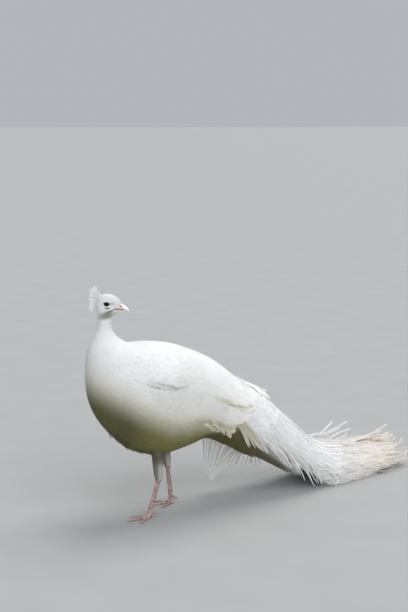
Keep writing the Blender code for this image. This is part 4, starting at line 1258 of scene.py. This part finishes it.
def build_train():
    train = Batch()
    web = vane(20, 0.02, 0.20, lambda s: np.clip(1.1 - 0.7 * s, 0.1, 1) * np.minimum(1, 0.3 + 4 * s))
    for layer in range(len(TRAIN_LAYERS)):
        path, normal = train_paths(layer)
        length = np.linalg.norm(np.diff(path, axis=1), axis=-1).sum(1).mean()
        # the middle layers carry the hollow's painted shade
        paint = deep_train_paint if 2 <= layer <= 5 else train_paint
        vanes_on(train, path, normal, 0.0032, paint, pattern=web, wrap=5.0)
        shafts_on(train, path[:, ::3], normal[:, ::3], 0.0004, paint, sides=3)
        barbs_on(train, path, normal, int(length / BARB_STEP), train_reach, sloped(0.56, -0.28), 0.00045,
                 paint, start=0.06, rough=0.30)
    train.make("train_feathers", "flight_feather", replaces=("train",))


def curved(points, steps=26):
    """Paths through rows of points: shape (feathers, points, 3) to (feathers, steps, 3)."""
    return np.stack([along(row, np.linspace(0, 1, steps)) for row in points])


def outward_of(path, towards):
    """Normals of free feathers, on the side of a given way."""
    ahead = unit(np.gradient(path, axis=1))
    way = np.broadcast_to(np.asarray(towards, float), path.shape)
    return unit(way - ahead * (way * ahead).sum(-1, keepdims=True))


def pale_tan(points, share):
    """White at the root, and cream or tan at the end, by feather."""
    streak = 0.5 + 0.5 * np.sin(530 * points[..., 1] + 90 * points[..., 2])
    aged = eased(points[..., 0], 0.68, 0.88)
    return mixed(plain(WHITE, points), TAN, aged * (0.15 + 0.65 * streak))


def build_strays():
    """Loose feathers that curl up from the lying train, and the ragged brush at its end."""
    strays = Batch()
    rows = []
    for ring, degrees, bend, tip in (
        (15.4, 20, (0.690, 0.105, 0.140), (0.775, 0.115, 0.164)),
        (15.3, 26, (0.680, 0.112, 0.128), (0.752, 0.125, 0.142)),
        (15.2, 8, (0.650, 0.080, 0.150), (0.698, 0.092, 0.176)),
        (16.8, -12, (0.850, 0.095, 0.108), (0.938, 0.105, 0.136)),
        (16.9, -9, (0.845, 0.100, 0.104), (0.930, 0.112, 0.124)),
        (17.6, 25, (0.915, 0.130, 0.094), (0.985, 0.135, 0.086)),
        (17.5, 22, (0.905, 0.126, 0.090), (0.970, 0.138, 0.096)),
        (16.3, 30, (0.760, 0.140, 0.120), (0.812, 0.150, 0.126)),
        (17.0, 4, (0.850, 0.110, 0.106), (0.930, 0.125, 0.110)),
        (17.9, -5, (0.915, 0.105, 0.090), (0.975, 0.120, 0.094)),
    ):
        root = form(np.array(ring), np.array(math.radians(degrees)), 0.92)
        bend, tip = np.array(bend), np.array(tip)
        rows.append((root, root + (bend - root) * 0.5, bend, tip))
    path = curved(np.array(rows))
    normal = outward_of(path, (0.0, 0.0, 1.0))
    shafts_on(strays, path, normal, 0.0013, pale_tan, 4)
    barbs_on(strays, path, normal, 110, sloped(0.024, -0.010), sloped(0.30, 0.15), 0.00055, pale_tan,
             start=0.15, rough=0.35, wrap=0.0)
    count, steps = 240, 8
    t0 = CHANCE.uniform(16.0, 18.7, count)
    angle = CHANCE.uniform(-1.55, 1.35, count)
    root = form(t0, angle, CHANCE.uniform(0.80, 0.99, count))
    way = np.stack((CHANCE.uniform(0.05, 0.11, count), CHANCE.normal(0.006, 0.020, count),
                    CHANCE.normal(-0.002, 0.014, count)), -1)
    tip = np.clip(root + way, (0.0, -0.05, 0.003), (0.992, 0.196, 0.3))
    middle = (root + tip) / 2 + CHANCE.normal(0, 0.005, (count, 3))
    middle[:, 2] = np.maximum(middle[:, 2], 0.003)
    path = curved(np.stack((root, middle, tip), 1), steps)
    normal = outward_of(path, (0.0, 0.0, 1.0))
    shafts_on(strays, path, normal, 0.00045, pale_tan, 3)
    barbs_on(strays, path, normal, 15, sloped(0.026, -0.012), sloped(0.32, 0), 0.00042, pale_tan,
             start=0.05, rough=0.45, wrap=0.0)
    strays.make("train_strays", "flight_feather")


# Tail
def build_tail():
    """The stiff tail feathers under the train, with the coverts below them."""
    tail = Batch()
    for scale, start, end, count, first, last, half in (
        (0.85, 11.4, 15.1, 8, 128, 232, 0.017), (0.92, 11.2, 14.8, 8, 130, 230, 0.017),
        (0.99, 11.0, 13.5, 9, 128, 232, 0.015),
    ):
        angle = np.radians(np.linspace(first, last, count)) + CHANCE.normal(0, 0.02, count)
        reach = end - 0.35 * np.abs(angle - math.pi) - CHANCE.uniform(0, 0.2, count)
        s = np.linspace(0, 1, 26)
        t = start + (reach - start)[:, None] * s[None]
        sunk = scale * (1 - 0.20 * np.clip(1 - s / 0.3, 0, 1))[None]
        here = np.broadcast_to(angle[:, None], t.shape)
        path = form(t, here, sunk)
        _, normal, _, _ = framed(form, t, here)
        path[..., 2] = np.maximum(path[..., 2], 0.0012)
        vanes_on(tail, path, normal, half, hollow_shade_paint, wrap=5.0)
        shafts_on(tail, path, normal, 0.0012, hollow_shade_paint)
        barbs_on(tail, path, normal, 60, sloped(0.026, 0), sloped(0.5, -0.2), 0.0005, hollow_shade_paint)
    tail.make("tail_feathers", "flight_feather", replaces=("tail",))


def lace_paint(points, share):
    return mixed(plain(WHITE, points), CREAM, 0.20)


def shaded_lace(points, share):
    return mixed(lace_paint(points, share), OCHRE_SHADE * 0.7, 0.85 - 0.40 * share[None, :])


def build_lace():
    """The open feathers that hang on the far side: fine shafts whose barbs run together in a point."""
    lace = Batch()
    count = 46
    rank = np.linspace(0, 1, count)
    ring = 11.15 + 2.55 * rank**0.8
    angle = np.full(count, math.radians(146)) + CHANCE.normal(0, 0.04, count)
    root, leaves = form(ring, angle, 0.55), form(ring + 0.1, angle, 1.00)
    ends = (
        (0.205, 0.094, 0.120), (0.222, 0.095, 0.068), (0.235, 0.096, 0.050), (0.240, 0.097, 0.050),
        (0.262, 0.100, 0.060), (0.325, 0.104, 0.078), (0.420, 0.108, 0.068),
    )
    tip = along(ends, rank) + CHANCE.normal(0, 1, (count, 3)) * (0.0030, 0.003, 0.0030)
    sweep = np.array((0.006, 0.014, 0.004)) + CHANCE.normal(0, 0.002, (count, 3))
    path = curved(np.stack((root, leaves, (leaves + tip) / 2 + sweep, tip), 1))
    normal = outward_of(path, (0.5, 0.85, 0.0))
    shafts_on(lace, path, normal, 0.00040, lace_paint, 3)
    barbs_on(lace, path, normal, 56, sloped(0.036, -0.022), sloped(0.22, -0.10), 0.00024, lace_paint,
             start=0.26, rough=0.14, wrap=0.0)
    lace.make("far_lace", "flight_feather")


def build_hanging():
    """Strands along both edges of the train, and one pale vane that hangs over the hollow on the left."""
    strands = Batch()
    side = np.where(np.arange(100) % 3 == 2, 1, -1)
    count = len(side)
    ring = np.linspace(12.5, 16.0, count) + CHANCE.uniform(-0.08, 0.08, count)
    angle = side * np.radians(CHANCE.uniform(88, 114, count))
    root, leaves = form(ring, angle, 0.90), form(ring + 0.25, angle, 1.0)
    long = CHANCE.uniform(0.50, 1.0, count)
    fall = np.stack((0.088 * long, CHANCE.uniform(-0.018, 0.004, count) * side, -0.098 * long), -1)
    fall[:, 0] *= CHANCE.uniform(0.75, 1.1, count)
    tip = leaves + fall
    tip[:, 2] = np.maximum(tip[:, 2], CHANCE.uniform(0.008, 0.028, count))
    middle = (leaves + tip) / 2 + np.array((0.002, 0.0, 0.010)) + side[:, None] * np.array((0.0, 0.004, 0.0))
    path = curved(np.stack((root, leaves, middle, tip), 1))
    normal = outward_of(path, np.stack((0 * long - 0.3, 0.95 * side, 0.1 + 0 * long), -1)[:, None])
    shafts_on(strands, path, normal, 0.0006, lace_paint, 3)
    vanes_on(strands, path, normal, 0.0016, lace_paint, wrap=0.0)
    barbs_on(strands, path, normal, 40, sloped(0.024, -0.015), sloped(0.34, -0.16), 0.0003, lace_paint,
             start=0.25, rough=0.25, wrap=0.0)
    rank = np.linspace(0, 1, 11)
    root = along(((0.216, -0.078, 0.284), (0.236, -0.080, 0.285)), rank)
    middle = along(((0.240, -0.090, 0.246), (0.280, -0.090, 0.240)), rank)
    tip = along(((0.262, -0.084, 0.196), (0.336, -0.082, 0.168)), rank) + CHANCE.normal(0, 0.004, (11, 3))
    path = curved(np.stack((root, middle, tip), 1))
    normal = outward_of(path, (-0.2, -1.0, 0.0))
    vanes_on(strands, path, normal, 0.0026, shaded_lace, wrap=0.0)
    barbs_on(strands, path, normal, 44, sloped(0.022, -0.012), sloped(0.24, -0.10), 0.0003, shaded_lace,
             start=0.15, rough=0.16, wrap=0.0)
    strands.make("edge_strands", "flight_feather")


# Head
def crest_paint(points, share):
    return mixed(plain(WHITE, points), CREAM, 0.45 * eased(share, 0.80, 1.0))


def build_crest():
    """Bare shafts in a fan, each with a small spoon of a vane, stacked in one upright row."""
    crest = Batch()
    count, steps = 18, 26
    rank = np.linspace(0, 1, count)
    root, tip = along(CREST_ROOTS, rank), along(CREST_TIPS, rank)
    ahead = unit(tip - root)
    tip = tip + CHANCE.normal(0, 0.0010, tip.shape) - ahead * CHANCE.uniform(0, 0.006, (count, 1))
    root = root - ahead * 0.005
    sideways = 0.0040 * np.sin(np.arange(count) * 2.4)
    s = np.linspace(0, 1, steps)
    flat = root[:, None] + (tip - root)[:, None] * s[None, :, None]
    across = np.stack((-ahead[:, 1], ahead[:, 0]), -1)
    bow = (0.0012 * np.sin(math.pi * s))[None, :, None]
    flat = flat + across[:, None] * bow * CHANCE.normal(0, 1, (count, 1, 1))
    path = turned(np.stack((flat[..., 0], sideways[:, None] * s[None], flat[..., 1]), -1))
    facing = turned((0.0, -1.0, 0.0)) - HEAD_AT
    normal = outward_of(path, facing)
    shafts_on(crest, path, normal, 0.00065, crest_paint, 4)
    spoon = slice(int(steps * 0.60), None)
    pattern = vane(18, 0.14, 0.10,
                   lambda s: np.clip(0.10 + 2.1 * s, 0, 1) * (1 - 0.50 * eased(s, 0.84, 1.0)))
    wide = 0.0050 * CHANCE.uniform(0.78, 1.15, count)
    vanes_on(crest, path[:, spoon], normal[:, spoon], wide, crest_paint, pattern=pattern, wrap=0.0)
    barbs_on(crest, path, normal, 20, sloped(0.0055, -0.0030), sloped(0.5, 0), 0.00016, crest_paint,
             start=0.20, wrap=0.0, rough=0.5)
    crest.make("crest_feathers", "plumage")


PUPIL = np.array((0.002, 0.002, 0.003))
IRIS_RIM = np.array((0.004, 0.003, 0.003))


def build_eyes():
    rings, sides = 26, 40
    polar = np.linspace(0.02, math.pi - 0.02, rings)
    turn = full_turn(sides)
    grid_p, grid_a = grid(polar, turn)
    for name, side in (("eye_left", 1), ("eye_right", -1)):
        flat = np.sin(grid_p)
        out = np.stack((flat * np.cos(grid_a), side * np.cos(grid_p), flat * np.sin(grid_a)), -1)
        bulge = 1 + 0.04 * np.exp(-((grid_p / 0.55) ** 2))
        points = turned(EYE_AT * np.array((1, side, 1)) + out * (EYE_RADIUS * bulge)[..., None])
        pupil = 1 - eased(grid_p, 0.40, 0.46)
        rim = eased(grid_p, 0.70, 0.85)
        iris = np.broadcast_to(np.array((0.010, 0.005, 0.004)), points.shape)
        colour = mixed(mixed(iris, PUPIL, pupil), IRIS_RIM, rim)
        faces = np.array(grid_mesh(points))
        if side < 0:
            faces = faces[:, ::-1]
        piece(name + "_ball", points, faces, "eye", colour, replaces=(name,))


def build_lids():
    """An almond of bare lids round each eye: a dark rim, then pale skin that runs out under the feathers."""
    steps, columns = 56, 9
    turn = full_turn(steps)
    reach = np.linspace(0, 1, columns)
    grid_a, grid_r = grid(turn, reach)
    pointed = 1 + 0.10 * np.abs(np.cos(grid_a)) ** 6
    long = EYE_LONG * pointed + 0.0024 * grid_r
    high = EYE_HIGH + 0.0021 * grid_r
    x = EYE_AT[0] + long * np.cos(grid_a)
    z = EYE_AT[2] + high * np.sin(grid_a) + 0.0007 * np.cos(grid_a) * -1
    for side, name in ((1, "left"), (-1, "right")):
        ball = np.sqrt(np.clip(EYE_RADIUS**2 - (x - EYE_AT[0]) ** 2 - (z - EYE_AT[2]) ** 2, 0, None))
        over_ball = EYE_AT[1] + ball
        cheek = head_side(x, z) + 0.0002
        out = over_ball + 0.0006 + (cheek - over_ball - 0.0006) * eased(grid_r, 0.0, 0.55)
        swell = 0.0009 * bell(grid_r - 0.16, 0.14)
        out = np.maximum(out, cheek) + swell - 0.0012 * eased(grid_r, 0.6, 1.0)
        points = turned(np.stack((x, side * out, z), -1))
        faces = np.array(grid_mesh(points))
        if side > 0:
            faces = faces[:, ::-1]
        piece("lids_" + name, points, faces, "bare_skin", head_paint(points))


def head_side(x, z):
    """Half width of the head at a place of its side view."""
    t = np.linspace(2, HEAD_TOP - 0.1, 160)
    angle = np.linspace(0.02, math.pi - 0.02, 90)
    grid_t, grid_a = grid(t, angle)
    px, py, pz = to_head(head_form(grid_t, grid_a))
    flat = np.stack((px.ravel(), pz.ravel()), -1)
    wanted = np.stack((x.ravel(), z.ravel()), -1)
    width = np.empty(len(wanted))
    for first in range(0, len(wanted), 256):
        part = wanted[first : first + 256]
        gap = ((part[:, None] - flat[None]) ** 2).sum(-1)
        near = np.argpartition(gap, 4, axis=1)[:, :4]
        weight = 1 / (np.take_along_axis(gap, near, 1) + 1e-9)
        width[first : first + 256] = (py.ravel()[near] * weight).sum(1) / weight.sum(1)
    return width.reshape(x.shape)


def build_bill():
    """Both halves of the bill, with the nostrils sunk in and the cutting edges drawn fine."""
    for name, table, upper in (("bill_upper", UPPER_BILL, True), ("bill_lower", LOWER_BILL, False)):
        steps, sides = 44, 64
        rows = along(table, np.linspace(0, 1, steps))
        turn = full_turn(sides)
        x, far, edge, half = (rows[:, k][:, None] for k in range(4))
        lobe = np.cos(turn)[None]
        y = half * np.sin(turn)[None] * (1 - 0.10 * np.clip(lobe, 0, 1))
        z = edge + (far - edge) * np.clip(lobe, 0, 1) ** 0.92 - (far - edge) * 0.05 * np.clip(-lobe, 0, 1)
        x = np.broadcast_to(x, y.shape)
        pit = np.zeros_like(x)
        if upper:
            dx, dz = x - 0.0500, z - 0.0368
            slope = math.radians(-24)
            lengthwise = dx * math.cos(slope) + dz * math.sin(slope)
            crosswise = dz * math.cos(slope) - dx * math.sin(slope)
            pit = np.exp(-((lengthwise / 0.0052) ** 4) - (crosswise / 0.0015) ** 2)
            pit = pit * (np.abs(np.sin(turn))[None] > 0.3)
            hood = np.exp(-((lengthwise / 0.0065) ** 4) - ((crosswise - 0.0030) / 0.0020) ** 2)
            y = y * (1 - 0.34 * pit + 0.10 * hood)
        points = turned(np.stack((x, y, z), -1))
        ivory = np.broadcast_to(np.array((0.96, 0.93, 0.90)), points.shape)
        rosy = np.array((0.84, 0.60, 0.54))
        warm = 0.50 * (1 - eased(x, 0.038, 0.060)) + 0.12 * (1 - eased(x, 0.052, 0.068))
        colour = mixed(ivory, rosy, warm)
        near_edge = np.exp(-(((z - edge) / 0.0030) ** 2)) * (1 - eased(x, 0.056, 0.068))
        colour = mixed(colour, GAPE, 0.95 * near_edge)
        if upper:
            colour = mixed(colour, np.array((0.62, 0.26, 0.22)), 0.6 * np.exp(-((lengthwise / 0.0075) ** 2)
                                                                             - (crosswise / 0.0036) ** 2))
        # Dark red in the nostril: painted shade of its opening
        colour = mixed(colour, np.array((0.20, 0.04, 0.035)), np.clip(1.4 * pit, 0, 1))
        if not upper:
            colour = mixed(colour, CREAM, 0.35)
        faces = grid_mesh(points)
        base = [(0, j + 1, j) for j in range(1, sides - 1)]
        piece(name + "_horn", points, np.array(faces + base), "bill_horn", colour, replaces=(name,))


# Legs
def tube_points(path, across, fore, sides):
    """Rings of points along a path: half sizes across (Y) and fore and aft."""
    ahead = unit(np.gradient(path, axis=0))
    sideways = np.broadcast_to(np.array((0.0, 1.0, 0.0)), path.shape)
    front = unit(np.cross(ahead, sideways))
    turn = full_turn(sides)
    return (path[:, None] + sideways[:, None] * (across[:, None] * np.sin(turn)[None])[..., None]
            + front[:, None] * (fore[:, None] * np.cos(turn)[None])[..., None]), turn


LEG = np.array((0.47, 0.315, 0.285))
LEG_DARK = np.array((0.17, 0.115, 0.11))


def scute_height(along_leg, turn, count, front=1.0):
    """Overlapping plates down the front and small scales behind: a height from 0 to 1."""
    step = along_leg * count
    plate = (step % 1.0) ** 0.7
    small = np.abs(np.sin(math.pi * (step * 1.6 + 0.5 * np.floor(turn / 0.6)))) * np.abs(np.sin(turn * 5))
    face = eased(np.cos(turn) * front, -0.1, 0.35)
    return plate * face + 0.6 * small * (1 - face)


def build_shank(side):
    hock, ankle = np.array(HOCK[side]), np.array(ANKLE[side])
    top = hock + (hock - ankle) * 0.06
    share = np.linspace(0, 1, 190)
    path = top + (ankle - top) * share[:, None]
    knob = 0.0018 * np.exp(-(((share - 0.06) / 0.07) ** 2)) + 0.0010 * np.exp(-(((share - 1) / 0.10) ** 2))
    sides = 36
    rings, turn = tube_points(path, SHANK_ACROSS + knob, SHANK_FORE + knob, sides)
    middle = path[:, None]
    way = unit(rings - middle)
    height = scute_height(share[:, None], np.broadcast_to(turn, (len(share), sides)), 17, -1.0)
    rings = rings + way * (0.00075 * height - 0.0003)[..., None]
    colour = mixed(plain(LEG, rings), LEG_DARK, 0.65 * (1 - eased(height, 0.05, 0.45)))
    # Painted shade just below the hock, where the thigh's feathers hang over
    colour = mixed(colour, DUSK * 0.4, (0.85 * np.exp(-(((share - 0.075) / 0.018) ** 2)))[:, None])
    piece(f"shank_{side}_scales", rings, grid_mesh(rings), "leg_scale", colour, replaces=("shank_" + side,))
    base = hock + (ankle - hock) * 0.62
    back = unit(np.array((1.0, 0.0, 0.12)))
    s = np.linspace(0, 1, 14)
    spur = base + back * (0.0130 * s)[:, None] + np.array((0, 0, 0.0012)) * (s**2)[:, None]
    size = 0.0034 * (1 - s**1.6) + 0.0002
    turn = full_turn(16)
    up = np.array((0.0, 0.0, 1.0))
    rings = (spur[:, None] + np.array((0.0, 1.0, 0.0)) * (size[:, None] * np.cos(turn)[None])[..., None]
             + up * (size[:, None] * np.sin(turn)[None])[..., None])
    faces = np.array(grid_mesh(rings))
    piece(f"spur_{side}", rings, faces, "bill_horn", plain((0.50, 0.42, 0.40), rings))


INSTEP = ((0, 0.0070), (0.35, 0.0072), (0.66, 0.0084), (0.88, 0.0090), (0.97, 0.0080), (1, 0.0062))


def build_foot(side):
    ankle, ball = np.array(ANKLE[side]), np.array(FOOT_AT[side])
    hand = 1 if side == "left" else -1
    share = np.linspace(0, 1, 30)
    path = ankle + (ball - ankle) * share[:, None]
    path[:, 2] = np.maximum(path[:, 2], 0.0005)
    radius = line_at(INSTEP, share)
    turn = full_turn(28)
    rings = (path[:, None] + np.array((1.0, 0, 0)) * (radius[:, None] * np.cos(turn)[None])[..., None]
             + np.array((0, 0.9, 0)) * (radius[:, None] * np.sin(turn)[None])[..., None])
    parts, faces, colours = [rings.reshape(-1, 3)], [np.array(grid_mesh(rings))], []
    offset = rings.shape[0] * 28
    colours.append(np.broadcast_to(LEG, (offset, 3)))
    claws, claw_faces, claw_offset = [], [], 0
    toes = [(FOOT_TURN[side] - hand * angle, length, pads, None) for angle, length, pads in TOES]
    toes.append((FOOT_TURN[side] + math.pi - hand * 0.30, 0.022, 1, (0.024, 0.013)))
    for heading, length, pads, heights in toes:
        ahead = np.array((math.cos(heading), math.sin(heading), 0.0))
        across = np.array((-ahead[1], ahead[0], 0.0))
        s = np.linspace(0, 1, 24 * pads)
        radius = 0.0050 * (1 - 0.30 * s) * (0.90 + 0.14 * np.abs(np.sin(math.pi * s * pads)))
        middle = ball + ahead * (length * s)[:, None]
        middle[:, 2] = radius * 0.86 + 0.006 * np.clip(1 - 4 * s, 0, None)
        if heights:
            middle[:, 2] = heights[0] + (heights[1] - heights[0]) * s
        turn = full_turn(20)
        height = scute_height(s[:, None], np.broadcast_to(turn, (len(s), 20)) * 1.0, 5 * pads)
        height = height * eased(np.cos(turn), -0.2, 0.4)[None]
        full = radius[:, None] * 0.96 + 0.0005 * height
        ring = (middle[:, None] + across * (full * np.sin(turn)[None])[..., None]
                + np.array((0, 0, 1.0)) * (full * np.cos(turn)[None])[..., None])
        ring[..., 2] = np.maximum(ring[..., 2], 0.0)
        faces.append(np.array(grid_mesh(ring))[:, ::-1] + offset)
        parts.append(ring.reshape(-1, 3))
        colours.append(mixed(plain(LEG, ring), LEG_DARK, 0.6 * (1 - eased(height, 0.05, 0.5)) *
                             eased(np.cos(turn), -0.4, 0.2)[None]).reshape(-1, 3))
        offset += ring.shape[0] * ring.shape[1]
        end = middle[-1] - ahead * 0.001
        s = np.linspace(0, 1, 14)
        claw = end + ahead * (0.0118 * s)[:, None]
        drop = 0.004 if heights else end[2] - 0.0012
        claw[:, 2] = end[2] + 0.0012 * np.sin(math.pi * s) - drop * s**1.6
        size = radius[-1] * 0.72 * (1 - s**1.4) + 0.0002
        ring = (claw[:, None] + across * (size[:, None] * 0.8 * np.sin(turn)[None])[..., None]
                + np.array((0, 0, 1.0)) * (size[:, None] * np.cos(turn)[None])[..., None])
        ring[..., 2] = np.maximum(ring[..., 2], 0.0)
        claw_faces.append(np.array(grid_mesh(ring))[:, ::-1] + claw_offset)
        claws.append(ring.reshape(-1, 3))
        claw_offset += ring.shape[0] * ring.shape[1]
    piece(f"foot_{side}_scales", np.concatenate(parts), np.concatenate(faces), "leg_scale",
          np.concatenate(colours), replaces=("foot_" + side,))
    claws = np.concatenate(claws)
    piece(f"claws_{side}", claws, np.concatenate(claw_faces), "bill_horn",
          np.broadcast_to(np.array((0.42, 0.34, 0.31)), claws.shape))


# Floor, light and camera
def build_floor():
    mesh = bpy.data.meshes.new("floor")
    far = 180.0
    corners = [(-far, -far, 0), (far, -far, 0), (far, far, 0), (-far, far, 0)]
    mesh.from_pydata(corners, [], [(0, 1, 2, 3)])
    mesh.materials.append(floor_material())
    floor = bpy.data.objects.new("floor", mesh)
    bpy.context.scene.collection.objects.link(floor)


def soft_sun(name, way, strength, softness, colour):
    """A broad, even light that shines from the given way."""
    light = bpy.data.lights.new(name, "SUN")
    light.energy = strength
    light.angle = math.radians(softness)
    light.color = colour
    lamp = bpy.data.objects.new(name, light)
    lamp.rotation_euler = Vector(way).to_track_quat("Z", "Y").to_euler()
    bpy.context.scene.collection.objects.link(lamp)


def build_light():
    world = bpy.data.worlds.new("studio")
    world.use_nodes = True
    shade = world.node_tree.nodes["Background"]
    shade.inputs["Color"].default_value = (0.90, 0.94, 1.0, 1)
    shade.inputs["Strength"].default_value = 0.50
    bpy.context.scene.world = world
    soft_sun("key", (0.45, 0.22, 1.0), 1.55, 40, (1.0, 0.985, 0.96))
    soft_sun("fill", (-0.15, -0.90, 0.75), 1.80, 60, (0.955, 0.975, 1.0))


FOCAL, FRAME_HIGH = 1200, 612  # the photograph's focal length and height, in its pixels
HORIZON = 186  # pixels from the frame's middle up to the horizon
CAMERA_AT = (-1.5641, -3.2343, 1.2)


def build_camera():
    """The photograph's view: 28 degrees round to the bird's front, from 1.2 m up."""
    azimuth, pitch = math.radians(-28), math.atan(HORIZON / FOCAL)
    data = bpy.data.cameras.new("camera")
    data.sensor_fit = "VERTICAL"
    data.sensor_height = 36
    data.sensor_width = 36
    data.lens = 36 * FOCAL / FRAME_HIGH
    camera = bpy.data.objects.new("camera", data)
    camera.location = Vector(CAMERA_AT) + Vector(SHIFT)
    level = math.cos(pitch)
    forward = Vector((-math.sin(azimuth) * level, math.cos(azimuth) * level, -math.sin(pitch)))
    camera.rotation_euler = forward.to_track_quat("-Z", "Y").to_euler()
    bpy.context.scene.collection.objects.link(camera)
    bpy.context.scene.camera = camera
build_camera()
build_light()
build_floor()
build_skin()
build_body_coat()
build_head_coat()
build_thigh_coat()
build_wing("wing_left", -1)
build_wing("wing_right", 1)
build_curls("left", -1)
build_curls("right", 1)
build_far_tips()
build_coverts()
build_train()
build_silk()
build_strays()
build_tail()
build_lace()
build_hanging()
build_crest()
build_eyes()
build_lids()
build_bill()
for leg in SIDES:
    build_shank(leg)
    build_foot(leg)
bpy.context.scene.view_settings.view_transform = "Standard"
